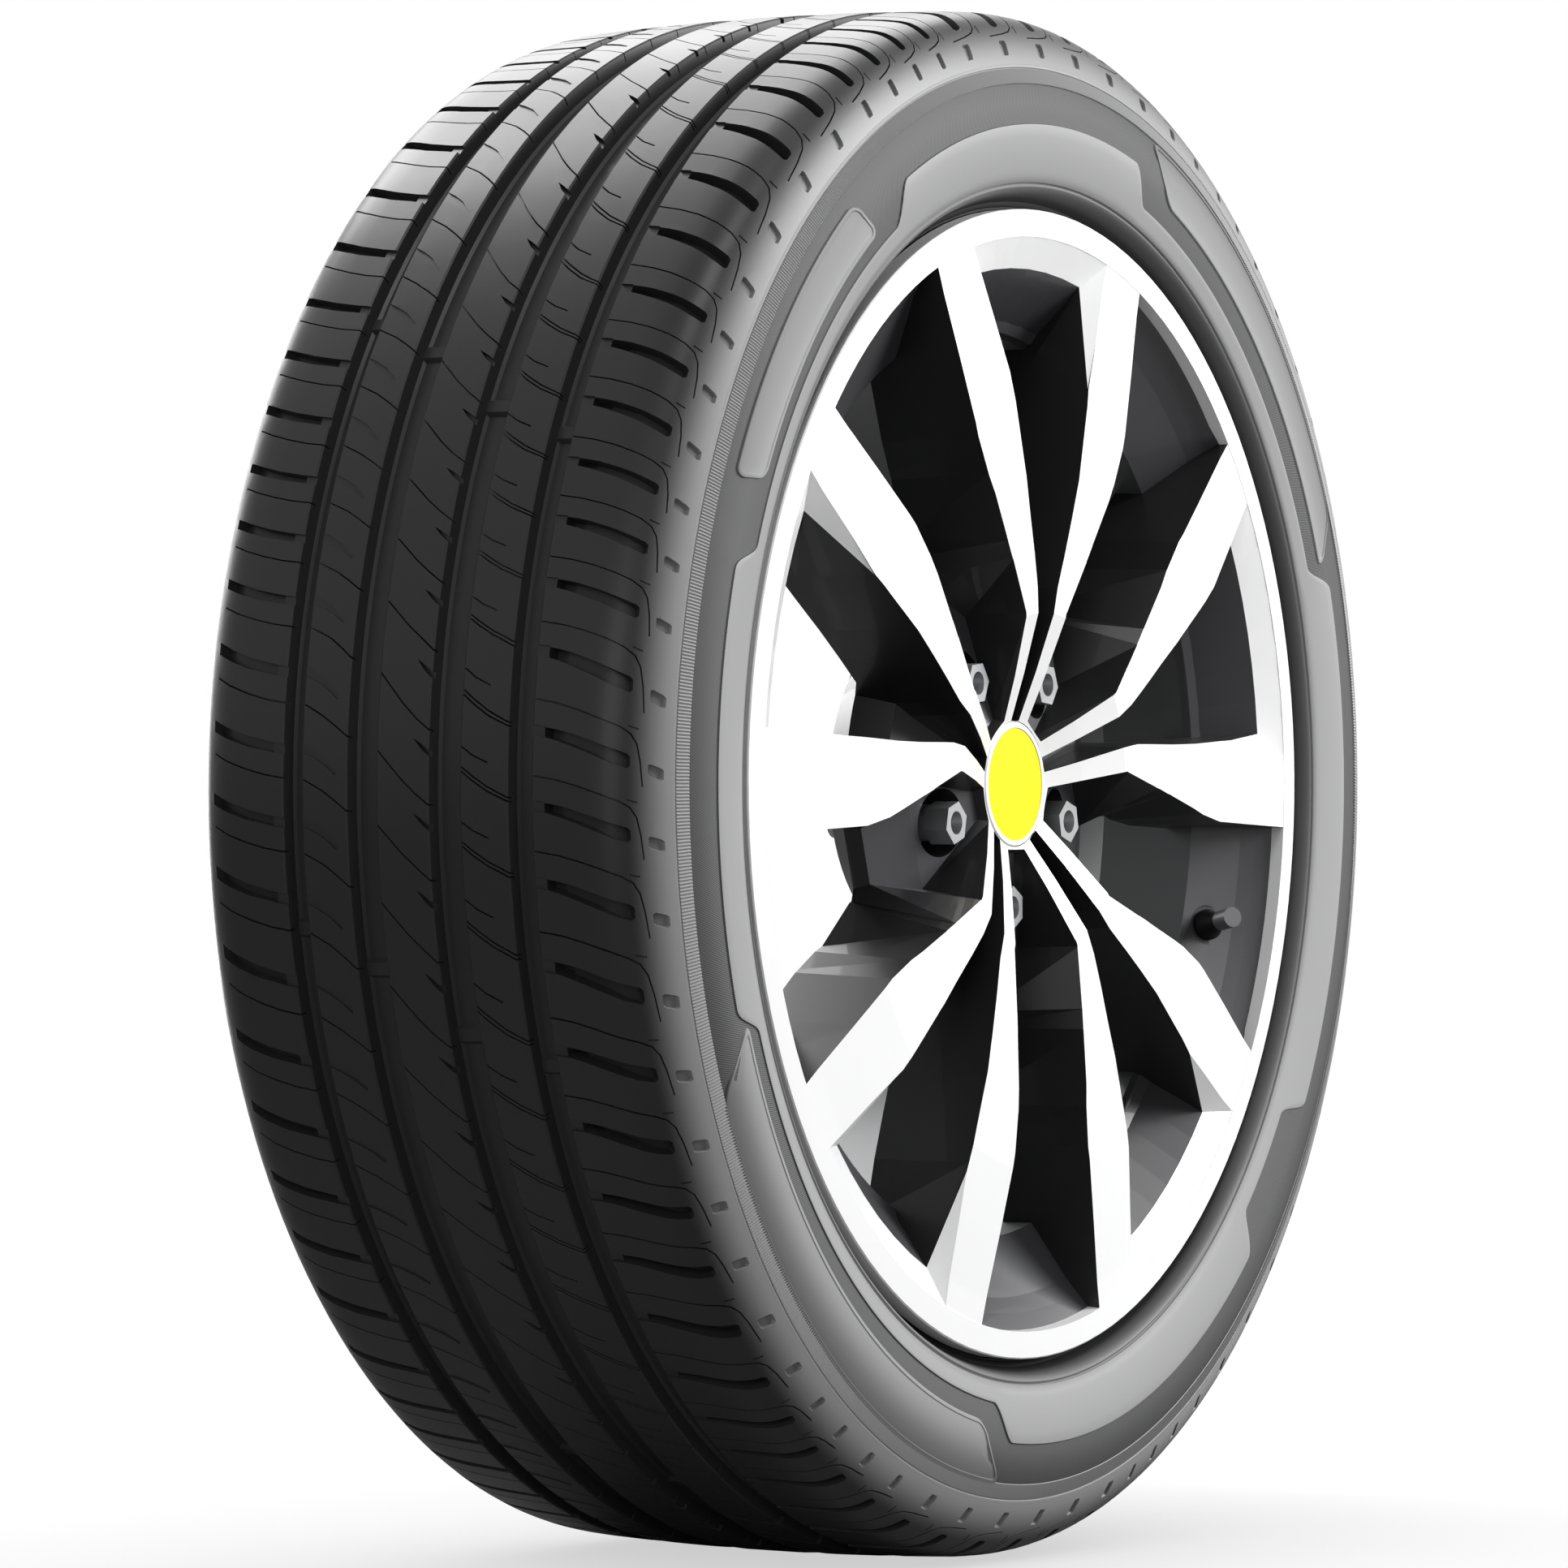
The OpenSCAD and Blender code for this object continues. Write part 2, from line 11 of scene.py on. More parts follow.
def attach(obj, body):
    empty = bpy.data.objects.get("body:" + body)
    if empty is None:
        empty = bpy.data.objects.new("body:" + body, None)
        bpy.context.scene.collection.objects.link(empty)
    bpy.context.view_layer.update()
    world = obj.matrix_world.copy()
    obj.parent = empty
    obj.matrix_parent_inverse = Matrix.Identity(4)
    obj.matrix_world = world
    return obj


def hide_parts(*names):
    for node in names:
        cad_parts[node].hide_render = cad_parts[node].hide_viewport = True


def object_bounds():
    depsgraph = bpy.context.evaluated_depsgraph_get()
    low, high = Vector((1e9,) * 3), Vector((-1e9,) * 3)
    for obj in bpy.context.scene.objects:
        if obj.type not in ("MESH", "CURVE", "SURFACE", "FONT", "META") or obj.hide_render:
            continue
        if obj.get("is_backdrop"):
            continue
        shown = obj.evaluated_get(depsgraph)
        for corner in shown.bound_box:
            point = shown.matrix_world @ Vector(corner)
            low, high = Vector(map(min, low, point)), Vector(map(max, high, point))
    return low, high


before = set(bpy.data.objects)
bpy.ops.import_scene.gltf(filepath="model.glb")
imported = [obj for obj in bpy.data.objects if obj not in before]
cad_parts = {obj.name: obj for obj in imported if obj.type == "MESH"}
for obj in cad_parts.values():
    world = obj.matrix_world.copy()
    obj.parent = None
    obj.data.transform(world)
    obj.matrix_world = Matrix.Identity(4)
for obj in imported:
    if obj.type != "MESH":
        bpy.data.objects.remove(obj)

bl_info = {
    "name": "Tyre and alloy wheel",
    "version": (1, 0, 0),
    "blender": (4, 5, 0),
    "location": "3D View > Sidebar > Tyre",
    "description": "Builds the tread, the sidewalls and the finishes of a car tyre on its alloy wheel",
    "category": "Object",
}

MM = 0.001
SAME_POINT = 2e-5                 # points closer than this are joined, in metres

# Sidewall outline, from the shoulder in to the protector: share of the way from the lip to the tread,
# and share of the half width
SIDE_LINE = ((0.975, 0.7), (0.958, 0.78), (0.92, 0.84), (0.86, 0.887), (0.777, 0.925), (0.68, 0.957),
             (0.615, 0.975), (0.5, 0.996), (0.408, 1), (0.315, 0.996), (0.224, 0.985), (0.126, 0.967))
# The rest of it, down to the bead: distance out from the lip and share of the half width
BEAD_LINE = ((8.1, 0.953), (3.4, 0.869), (0.2, 0.857))

# Grooves round the tread: middle and width, outer side positive
GROOVES = ((57.8, 11.5), (21.2, 15.5), (-20.0, 15.0), (-55.5, 10.0))

# Length of each tread block in degrees before scaling, repeated round the tyre
BLOCKS = (3.8, 3.9, 4.1, 4.5, 5.5, 6, 6, 5.6, 4.7, 4.7, 4.7, 4.3, 4.4, 4.6, 5.5, 5.1, 5.1, 5.6, 6.1, 5.5, 5.6,
          5.1, 5.2, 6, 5.2, 4.2, 4.1, 4.9, 4.7, 5.9, 5.9, 5.9, 5.9, 5.9, 5.8)
BLOCK_REPEATS = 2
FIRST_BLOCK = 104.98              # degrees from the X axis to the start of the first tile

# Cuts in the tread. Each point is the height across the tread and the distance along it; a depth follows
OUTER_SLOT = (((69, 28.3), (75, 29.3), (80, 30.4), (90, 33.5), (100, 37.2), (104.6, 39.1), (105.6, 40.4),
               (105.6, 44.4), (104.6, 45.4), (100, 43.6), (90, 39.2), (80, 35.6), (75, 34), (69, 32.4)), 6.6)
OUTER_DEEP = (((69, 28.4), (75.3, 29.5), (75.3, 33.9), (69, 32.3)), 8.2)
OUTER_LINK = (((62, 27.2), (69.6, 27.9), (69.6, 32.7), (62, 31.8)), 1.1)
INNER_SLOT = (((-98.5, 24.4), (-90, 28), (-80, 31.2), (-66, 34.2), (-66, 38.4), (-80, 35.9), (-90, 32.9),
               (-98.5, 29.4)), 5.2)
INNER_LINK = (((-66.8, 34), (-59, 35.2), (-59, 39.6), (-66.8, 38.4)), 1.2)
SCOOP = (((-51, 2.6), (-45, 5.6), (-39, 9.4), (-32.6, 15.6), (-33.4, 17), (-39, 12.6), (-45, 9.4),
          (-51, 7)), 0.7)
WEDGE = (((5.6, 32.6), (9, 34.6), (14.6, 38.4), (14.6, 41.4), (9.6, 37.2)), 2.6)
POCKET = (((110.2, 43.6), (110.9, 43.2), (113.3, 45), (113.9, 46), (113.9, 50.2), (113.3, 50.8), (110.8, 49),
           (110.2, 47.9)), 1.5)
POCKET_OVER, POCKET_TAPER = 0.4, 0.76   # how far its cutter stands out, and its floor's share of its mouth
TICK = (((104.7, 27.3), (106.2, 28), (107.7, 28.5)), 0.8)
SLOTS = (OUTER_SLOT, INNER_SLOT)
SHALLOW = (OUTER_LINK, INNER_LINK, SCOOP, WEDGE)

# Sipes: thin cuts along a line, with their depth
SIPES = (
    (((63, 48.3), (75, 50.2), (85, 52.8), (95, 56.2), (102, 59.2), (105.6, 62.1), (107.4, 66.4), (108.4, 74),
      (109, 84.6)), 2.4),
    TICK,
    (((28, 43.6), (35, 48.6), (42, 53), (52.8, 58)), 4.0),
    (((28, 45.4), (35, 50.6), (42, 54.9), (52.8, 59.6)), 4.0),
    (((28, 35.2), (35, 40), (42.5, 43.2)), 3.0),
    (((-13.2, 36.6), (0, 50), (7, 56), (14, 61.2)), 4.0),
    (((-51, 18.1), (-40, 23.4), (-33, 28), (-26.8, 32.6)), 4.0),
    (((-97.5, 70.3), (-90, 73.8), (-80, 77), (-70, 79.4), (-59, 81)), 4.0),
)

# Wear bars: middle and width in their groove, and the first angle
WEAR_BARS = ((57.8, 12.5, 20.9), (21.2, 16.5, 18.7), (-20.0, 16.0, 14.0), (-55.5, 11.0, 11.2))
WEAR_SETS = 8
WEAR_HEIGHT, WEAR_LENGTH = 1.9, 9.0
WEAR_SUNK = 0.3                   # how far their ends lie below the floor of the groove

# Places on the outer sidewall where the hatched band widens inwards: first and last angle
WIDE_PLACES = ((22, 75), (121, 162.5), (202, 262), (-46, -31))
# Raised panels in them: first and last angle, lower and upper radius, lean of the ends in degrees
PANELS = ((24.8, 71.6, 290, 314.5, 2.2), (127, 156.4, 287, 309, 1.0), (204, 260.5, 289.5, 316.5, 2.4))


class TyreSizes(bpy.types.PropertyGroup):
    """Sizes of the tyre's rubber"""
    outer_radius: FloatProperty(name="Outer radius", description="From the axis to the middle of the tread",
                                default=0.3515, unit="LENGTH")
    half_width: FloatProperty(name="Half width", description="From the middle plane to the widest place",
                              default=0.1215, unit="LENGTH")
    lip_radius: FloatProperty(name="Lip radius", description="From the axis to the edge of the rim flange",
                              default=0.2593, unit="LENGTH")
    crown_fall: FloatProperty(name="Crown fall", description="Fall of the tread out to its shoulders",
                              default=0.0023, unit="LENGTH")
    groove_depth: FloatProperty(name="Groove depth", description="Depth of the grooves round the tread",
                                default=0.0075, unit="LENGTH")
    sipe_width: FloatProperty(name="Sipe width", description="Width of the thin cuts", default=0.0007,
                              unit="LENGTH")
    pitch_length: FloatProperty(name="Pitch length", description="Mean length of one tread block",
                                default=0.0314, unit="LENGTH")
    rib_count: IntProperty(name="Serrations", description="Fine ribs in the ring under the shoulder",
                           default=1400, min=200)
    band_depth: FloatProperty(name="Band depth", description="Depth of the hatched band", default=0.0008,
                              unit="LENGTH")


class Finishes(bpy.types.PropertyGroup):
    """Colours of the rubber, the paint and the fittings"""
    tread: FloatVectorProperty(name="Tread", description="Rubber of the tread", subtype="COLOR",
                               default=(0.032, 0.032, 0.033))
    # Painted light: the sidewall is the tread's rubber, given a colour about ten times paler for the lamps' light
    # on it
    side: FloatVectorProperty(name="Sidewall", description="Smooth rubber of the sidewall", subtype="COLOR",
                              default=(0.33, 0.33, 0.332))
    band: FloatVectorProperty(name="Hatched band", description="Dark band of the sidewall", subtype="COLOR",
                              default=(0.085, 0.085, 0.087))
    turned: FloatVectorProperty(name="Turned face", description="Bright turned face of the wheel",
                                subtype="COLOR", default=(0.93, 0.93, 0.935))
    paint: FloatVectorProperty(name="Dark paint", description="Gloss paint of the spokes' flanks",
                               subtype="COLOR", default=(0.012, 0.012, 0.013))
    barrel: FloatVectorProperty(name="Barrel", description="Satin paint inside the rim", subtype="COLOR",
                                default=(0.085, 0.087, 0.09))
    badge: FloatVectorProperty(name="Cap disc", description="Disc in the centre cap", subtype="COLOR",
                               default=(1.0, 0.85, 0.0))
    bolt: FloatVectorProperty(name="Bolts", description="Steel of the wheel bolts", subtype="COLOR",
                              default=(0.42, 0.43, 0.44))
    valve: FloatVectorProperty(name="Valve rubber", description="Rubber of the valve", subtype="COLOR",
                               default=(0.004, 0.004, 0.004))
    valve_cap: FloatVectorProperty(name="Valve cap", description="Grey of the cap on the valve",
                                   subtype="COLOR", default=(0.12, 0.12, 0.125))


class Studio(bpy.types.PropertyGroup):
    """Camera and lamps"""
    azimuth: FloatProperty(name="Azimuth", description="Angle of the camera from the front of the wheel",
                           default=math.radians(-59.894), subtype="ANGLE")
    elevation: FloatProperty(name="Elevation", description="Height of the camera above the axis, as an angle",
                             default=math.radians(-1.532), subtype="ANGLE")
    roll: FloatProperty(name="Roll", description="Turn of the camera about its line of sight",
                        default=math.radians(0.902), subtype="ANGLE")
    distance: FloatProperty(name="Distance", description="From the camera to the middle of the wheel",
                            default=3.1638, unit="LENGTH")
    lens: FloatProperty(name="Lens", description="Focal length on a 36 mm sensor, in millimetres",
                        default=157.82)
    shift: FloatProperty(name="Shift", description="Sideways shift of the frame", default=-0.0258)
    room_light: FloatProperty(name="Room light", description="Strength of the even light", default=0.08)


def deselect_all():
    if bpy.context.mode != "OBJECT":
        bpy.ops.object.mode_set(mode="OBJECT")
    bpy.ops.object.select_all(action="DESELECT")


def pick(obj):
    """Makes one object the only one selected, and the active one."""
    deselect_all()
    obj.select_set(True)
    bpy.context.view_layer.objects.active = obj


def mesh_object(name, points, faces):
    mesh = bpy.data.meshes.new(name)
    mesh.from_pydata(points, [], faces)
    mesh.validate()
    obj = bpy.data.objects.new(name, mesh)
    bpy.context.scene.collection.objects.link(obj)
    return obj


def discard(obj):
    """Takes an object and its mesh out of the file."""
    mesh = obj.data
    bpy.data.objects.remove(obj)
    bpy.data.meshes.remove(mesh)


def join_points(obj):
    """Joins the points of a mesh that lie in one place."""
    pick(obj)
    bpy.ops.object.mode_set(mode="EDIT")
    bpy.ops.mesh.select_all(action="SELECT")
    bpy.ops.mesh.remove_doubles(threshold=SAME_POINT)
    bpy.ops.object.mode_set(mode="OBJECT")
    return obj


def settle(obj, material, angle=35):
    """Gives a finished piece its material, its smooth shading and its place on the frame."""
    pick(obj)
    for m in material if isinstance(material, (list, tuple)) else (material,):
        obj.data.materials.append(m)
    bpy.ops.object.shade_smooth_by_angle(angle=math.radians(angle))
    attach(obj, "root")
    deselect_all()


def around(radius, height, angle):
    """Point of the row frame for a radius, a height towards the outer face and an angle, in millimetres."""
    return Vector((radius * math.cos(angle), -height, radius * math.sin(angle))) * MM


def smooth_line(points, steps):
    """Curve through the points, with a number of steps for each stretch."""
    line = []
    for i in range(len(points) - 1):
        a = points[max(i - 1, 0)]
        b, c = points[i], points[i + 1]
        d = points[min(i + 2, len(points) - 1)]
        for k in range(steps):
            t = k / steps
            line.append(tuple(
                0.5 * (2 * b[j] + (c[j] - a[j]) * t + (2 * a[j] - 5 * b[j] + 4 * c[j] - d[j]) * t * t
                       + (3 * b[j] - a[j] - 3 * c[j] + d[j]) * t ** 3) for j in (0, 1)))
    line.append(points[-1])
    return line


class Outline:
    """Outline of the tyre, walked from the middle of the tread out to the bead."""
    REACH = 0.8                   # its slope at a point is taken this far to both sides

    def __init__(self, sizes):
        top = sizes.outer_radius / MM
        lip = sizes.lip_radius / MM
        half = sizes.half_width / MM
        fall = sizes.crown_fall / MM
        shoulder = SIDE_LINE[0][1] * half
        crown = [(top - fall * (h / shoulder) ** 2, h) for h in (shoulder * k / 16 for k in range(16))]
        side = [(lip + s * (top - lip), w * half) for s, w in SIDE_LINE]
        side += [(lip + r, w * half) for r, w in BEAD_LINE]
        line = crown + smooth_line([crown[-1]] + side, 6)[6:]
        self.radius = [q[0] for q in line]
        self.height = [min(q[1], half) for q in line]
        self.arc = [0.0]
        for i in range(1, len(line)):
            step = math.hypot(self.radius[i] - self.radius[i - 1], self.height[i] - self.height[i - 1])
            self.arc.append(self.arc[-1] + step)
        self.widest = self.height.index(max(self.height))

    @staticmethod
    def between(keys, values, x):
        i = min(max(bisect.bisect_right(keys, x), 1), len(keys) - 1)
        t = (x - keys[i - 1]) / (keys[i] - keys[i - 1])
        return values[i - 1] + t * (values[i] - values[i - 1])

    def arc_at_height(self, height):
        """Arc length to a height between the middle and the widest place; both take the sign of the side."""
        return math.copysign(self.between(self.height[:self.widest], self.arc[:self.widest], abs(height)), height)

    def arc_at_radius(self, radius):
        return self.between([-r for r in self.radius], self.arc, -radius)

    def point(self, arc, out=0.0):
        """Radius and height at an arc length, moved out of the surface by some millimetres."""
        x = abs(arc)
        r, h = self.between(self.arc, self.radius, x), self.between(self.arc, self.height, x)
        dr, dh = (self.between(self.arc, values, x + self.REACH) - self.between(self.arc, values, x - self.REACH)
                  for values in (self.radius, self.height))
        size = math.hypot(dr, dh)
        return r + out * dh / size, math.copysign(h - out * dr / size, arc if arc else 1)


def pulled(points, along, taper=1.0):
    """Solid made by pulling a flat face along. A taper makes the pulled end the wider one."""
    obj = mesh_object("cutter", points, [list(range(len(points)))])
    pick(obj)
    bpy.ops.object.mode_set(mode="EDIT")
    bpy.ops.mesh.select_all(action="SELECT")
    bpy.ops.mesh.extrude_region_move(TRANSFORM_OT_translate={"value": along})
    if taper != 1.0:
        bpy.ops.transform.resize(value=(1 / taper, 1 / taper, 1))
    bpy.ops.mesh.select_all(action="SELECT")
    bpy.ops.mesh.normals_make_consistent(inside=False)
    bpy.ops.object.mode_set(mode="OBJECT")
    return obj


def prism(outline, low, high, taper=1.0):
    """Upright solid on a flat outline. A taper narrows its lower end."""
    mid = [sum(q[k] for q in outline) / len(outline) for k in (0, 1)]
    floor = [[m + (v - m) * taper for v, m in zip(q, mid)] for q in outline]
    return pulled([(x, y, low) for x, y in floor], (0, 0, high - low), taper)


def widen(line, width):
    """Closed outline of a strip along a line."""
    left, right = [], []
    for i, q in enumerate(line):
        a, b = Vector(line[max(i - 1, 0)]), Vector(line[min(i + 1, len(line) - 1)])
        across = (b - a).orthogonal().normalized() * (width / 2)
        left.append(tuple(Vector(q) + across))
        right.append(tuple(Vector(q) - across))
    return left + right[::-1]


def cut_away(block, cutters):
    """Joins the cutters and takes them out of the block."""
    deselect_all()
    for obj in cutters:
        obj.select_set(True)
    bpy.context.view_layer.objects.active = cutters[0]
    if len(cutters) > 1:
        bpy.ops.object.join()
    cutter = bpy.context.view_layer.objects.active
    pick(block)
    cut = block.modifiers.new("cut", "BOOLEAN")
    cut.operation, cut.solver, cut.object = "DIFFERENCE", "EXACT", cutter
    bpy.ops.object.modifier_apply(modifier=cut.name)
    discard(cutter)


TILE_SHIFT = -24.3                # along the tread, from the drawing's start to the tile's start
SLAB = 10.0                       # thickness of the slab that the tile is cut from
TREAD_OUT = 324.0                 # radius at which the tread piece ends on the outer sidewall
TREAD_IN = 331.0                  # and on the inner one
BROKEN_EDGE = 0.7                 # width of the broken edges of a groove
EDGE_OVER = 0.3                   # how far the groove's cutter stands out of the tile
GROOVE_FOOT = 2.2                 # how much narrower a groove's floor is on each side
FOOT_IN, FOOT_UP = 0.9, 1.2       # place of the bend in its wall, from the wall and from the floor
OVERSHOOT = 2                     # how far the cutters reach past the tile
RIB_CUTS = range(-80, 90, 20)     # heights at which the tile is divided, so that it bends round the crown
OFF_CORNERS = 0.37                # added to them, so that no division runs through a corner of a cut
SHOULDER_START, SHOULDER_FACE = 88, 3.6     # height from which it is divided finely, and length of a face there
TILE_EDGE = 1e-3                  # faces that lie this close to a border of the tile are taken off
SQUARE = 0.99                     # when their normal runs along an axis at least this much


def groove_cutter(middle, width, depth, length):
    """Trapezium with broken top edges, pulled along the tread."""
    half, floor = width / 2, width / 2 - GROOVE_FOOT
    right = [(floor, -depth), (half - FOOT_IN, -depth + FOOT_UP), (half, -BROKEN_EDGE),
             (half + BROKEN_EDGE + EDGE_OVER, EDGE_OVER)]
    line = [(-x, z) for x, z in reversed(right)] + right
    return pulled([(middle + x, -OVERSHOOT, z) for x, z in line], (0, length + 2 * OVERSHOOT, 0))


def bisect_at(value, axis):
    """Divides the faces of the mesh in edit mode along a plane across an axis."""
    normal = tuple(1.0 if k == axis else 0.0 for k in range(3))
    bpy.ops.mesh.select_all(action="SELECT")
    bpy.ops.mesh.bisect(plane_co=tuple(value * n for n in normal), plane_no=normal)


def tread_tile(outline, sizes):
    """One block length of tread, cut flat: X across it, Y along it, Z out of it."""
    pitch = sizes.pitch_length / MM
    first, last = -outline.arc_at_radius(TREAD_IN), outline.arc_at_radius(TREAD_OUT)
    deselect_all()
    bpy.ops.mesh.primitive_cube_add(size=1, location=((first + last) / 2, pitch / 2, -SLAB / 2),
                                    scale=(last - first, pitch, SLAB))
    tile = bpy.context.active_object
    tile.name = "tread_tile"
    bpy.ops.object.transform_apply(location=True, rotation=True, scale=True)
    depth = sizes.groove_depth / MM

    def flat(points, turn):
        return [(outline.arc_at_height(h), k + TILE_SHIFT - turn * pitch) for h, k in points]

    def in_reach(points):
        return min(y for x, y in points) < pitch and max(y for x, y in points) > 0

    def copies(points, low, high=OVERSHOOT, taper=1.0):
        drawn = [flat(points, turn) for turn in range(-1, 4)]
        return [prism(q, -low, high, taper) for q in drawn if in_reach(q)]

    cut_away(tile, [groove_cutter(middle, width, depth, pitch) for middle, width in GROOVES])
    cut_away(tile, [obj for points, low in SHALLOW for obj in copies(points, low)])
    cut_away(tile, [obj for points, low in SLOTS for obj in copies(points, low)])
    cut_away(tile, copies(*OUTER_DEEP))
    cut_away(tile, copies(*POCKET, POCKET_OVER, POCKET_TAPER))
    width = sizes.sipe_width / MM
    for line, low in SIPES:
        strips = [widen(flat(line, turn), width) for turn in range(-1, 4)]
        cut_away(tile, [prism(q, -low, OVERSHOOT) for q in strips if in_reach(q)])

    pick(tile)
    bpy.ops.object.mode_set(mode="EDIT")
    for h in RIB_CUTS:
        bisect_at(outline.arc_at_height(h + OFF_CORNERS), 0)
    shoulder = outline.arc_at_height(SHOULDER_START)
    for side, end in ((1, last), (-1, -first)):
        count = round((end - shoulder) / SHOULDER_FACE)
        for k in range(count):
            bisect_at(side * (shoulder + (end - shoulder) * k / count), 0)
    for k in (1, 2):
        bisect_at(pitch * k / 3, 1)
    bpy.ops.mesh.select_all(action="DESELECT")
    bpy.ops.object.mode_set(mode="OBJECT")
    for polygon in tile.data.polygons:
        c, n = polygon.center, polygon.normal
        side = abs(n.y) > SQUARE and (c.y < TILE_EDGE or c.y > pitch - TILE_EDGE)
        end = abs(n.x) > SQUARE and (c.x < first + TILE_EDGE or c.x > last - TILE_EDGE)
        polygon.select = side or end or c.z < -SLAB + TILE_EDGE
    bpy.ops.object.mode_set(mode="EDIT")
    bpy.ops.mesh.delete(type="FACE")
    bpy.ops.object.mode_set(mode="OBJECT")
    return tile


def block_starts():
    """First angle and length of every tread block, in degrees."""
    total = sum(BLOCKS)
    scale = 360 / BLOCK_REPEATS / total
    starts = []
    for turn in range(BLOCK_REPEATS):
        angle = FIRST_BLOCK + 360 / BLOCK_REPEATS * turn
        for length in BLOCKS:
            starts.append((angle, length * scale))
            angle += length * scale
    return starts


def wrap_tread(tile, outline, sizes):
    """Lays one tile after another round the tyre and joins their edges."""
    pitch = sizes.pitch_length / MM
    placed = []
    for v in tile.data.vertices:
        radius, height = outline.point(v.co.x, v.co.z)
        placed.append((radius, height, v.co.y / pitch))
    rings = [tuple(reversed(p.vertices)) for p in tile.data.polygons]
    points, faces = [], []
    for start, length in block_starts():
        base = len(points)
        points += [around(r, h, math.radians(start + length * share)) for r, h, share in placed]
        faces += [tuple(base + i for i in ring) for ring in rings]
    tread = mesh_object("tyre_tread", points, faces)
    discard(tile)
    return join_points(tread)


def skin(name, rows, side):
    """Surface through closed rows of points, which faces the outer or the inner side of the tyre."""
    n = len(rows[0])
    points = [q for row in rows for q in row]
    faces = []
    for i in range(len(rows) - 1):
        for j in range(n):
            a, b = i * n + j, i * n + (j + 1) % n
            ring = (a, b, b + n, a + n)
            faces.append(ring[::-1] if side == "inner" else ring)
    return mesh_object(name, points, faces)


def circle(radius, height):
    """One row of points round the tyre, two degrees apart."""
    return [around(radius, height, math.radians(2 * a)) for a in range(180)]


def ease(t):
    """Smooth step from 0 to 1."""
    t = min(max(t, 0.0), 1.0)
    return t * t * (3 - 2 * t)


BAND_OUT, BAND_IN = 314.8, 296.8  # radii of the hatched band's edges
BAND_WIDE = 280.2                 # radius of the inner edge where the band widens
BAND_WALL = 0.5                   # how far its floor ends inside the edge
BAND_END = 3.4                    # degrees over which the band widens
COLUMN_STEP, FINE_STEP, FINE_REACH = 1.0, 0.25, 2.6     # degrees between columns, and near where it widens

# Rows of the outer sidewall outside and inside the band: radius and height above the outline
SHOULDER_ROWS = ((325.4, -0.5), (323.7, 0), (322.7, 0), (322.4, -0.6), (322.1, -0.6), (321.9, -0.45),
                 (319, -0.45), (315.5, -0.45))
RIM_ROWS = ((271.4, 0), (271.0, -0.15), (270.7, -0.9), (270.2, -0.9), (269.2, -0.1), (267.8, 0), (266.4, 0),
            (265, 0), (263.6, 0), (262.3, 0), (260.9, 0), (259.6, 0))
# Radii of the inner sidewall's rows, and the heights of those that lie below the outline
INNER_RADII = (332.6, 331, 328, 324, 320, 316, 310, 304, 298, 292, 286, 280, 275, 271.4, 270.6, 269.4, 267.8, 266,
               264, 262.3, 260.9, 259.6)
INNER_DIPS = {332.6: -0.5, 270.6: -0.8}
RIB_RADII = (321.95, 318.7, 315.4)
RIB_TOP, RIB_FLOOR = 0.08, -0.42  # heights of the serrations
# Rows of a raised panel's rim: distance in from its edge and height, after the first at the band's depth
PANEL_RIM = ((0.35, -0.1), (1.1, 0.0), (1.9, -0.05), (2.3, -0.45), (3.2, -0.5))
PANEL_CORNER = 6.0                # radius of its corners at the edge


def band_inner(angle):
    """Inner radius of the hatched band at an angle in degrees."""
    share = 0.0
    for first, last in WIDE_PLACES:
        middle = (first + last) / 2
        off = (angle - middle + 180) % 360 - 180
        reach = (last - first) / 2
        share = max(share, ease((reach + BAND_END / 2 - abs(off)) / BAND_END))
    return BAND_IN + (BAND_WIDE - BAND_IN) * share


def side_columns():
    """Angles of the sidewall's columns, close together where the band widens."""
    near = [a for place in WIDE_PLACES for a in place]
    columns, angle = [], -90.0
    while angle < 270 - 1e-6:
        columns.append(angle)
        close = any(abs((angle - a + 180) % 360 - 180) < FINE_REACH for a in near)
        angle += FINE_STEP if close else COLUMN_STEP
    return columns


def outer_side(outline, sizes):
    """Outer sidewall from the shoulder to the bead, with its hatched band sunk in."""
    depth = sizes.band_depth / MM
    columns = side_columns()
    outer_rows = (*SHOULDER_ROWS, (BAND_OUT + BAND_WALL, -depth), (BAND_OUT, -depth))

    def place(r, out, angle):
        radius, height = outline.point(outline.arc_at_radius(r), out)
        return around(radius, height, math.radians(angle))

    rows = [[place(r, out, a) for a in columns] for r, out in outer_rows]
    inner = [band_inner(a) for a in columns]
    for share in (0.25, 0.5, 0.75):
        rows.append([place(BAND_OUT + (b + BAND_WALL - BAND_OUT) * share, -depth, a)
                     for a, b in zip(columns, inner)])
    for off, out in ((BAND_WALL, -depth), (0.1, -0.12), (-0.3, 0)):
        rows.append([place(b + off, out, a) for a, b in zip(columns, inner)])
    for share in (0.2, 0.4, 0.6, 0.8):
        rows.append([place(b + (RIM_ROWS[0][0] - b) * share, 0, a) for a, b in zip(columns, inner)])
    rows += [[place(r, out, a) for a in columns] for r, out in RIM_ROWS]
    obj = skin("tyre_outer_side", rows, "outer")
    band_rows = range(len(outer_rows) - 2, len(outer_rows) + 4)
    for i, polygon in enumerate(obj.data.polygons):
        polygon.material_index = 1 if i // len(columns) in band_rows else 0
    return obj


def inner_side(outline):
    """Plain sidewall towards the car."""
    rows = []
    for r in INNER_RADII:
        rows.append(circle(*outline.point(-outline.arc_at_radius(r), INNER_DIPS.get(r, 0.0))))
    return skin("tyre_inner_side", rows, "inner")


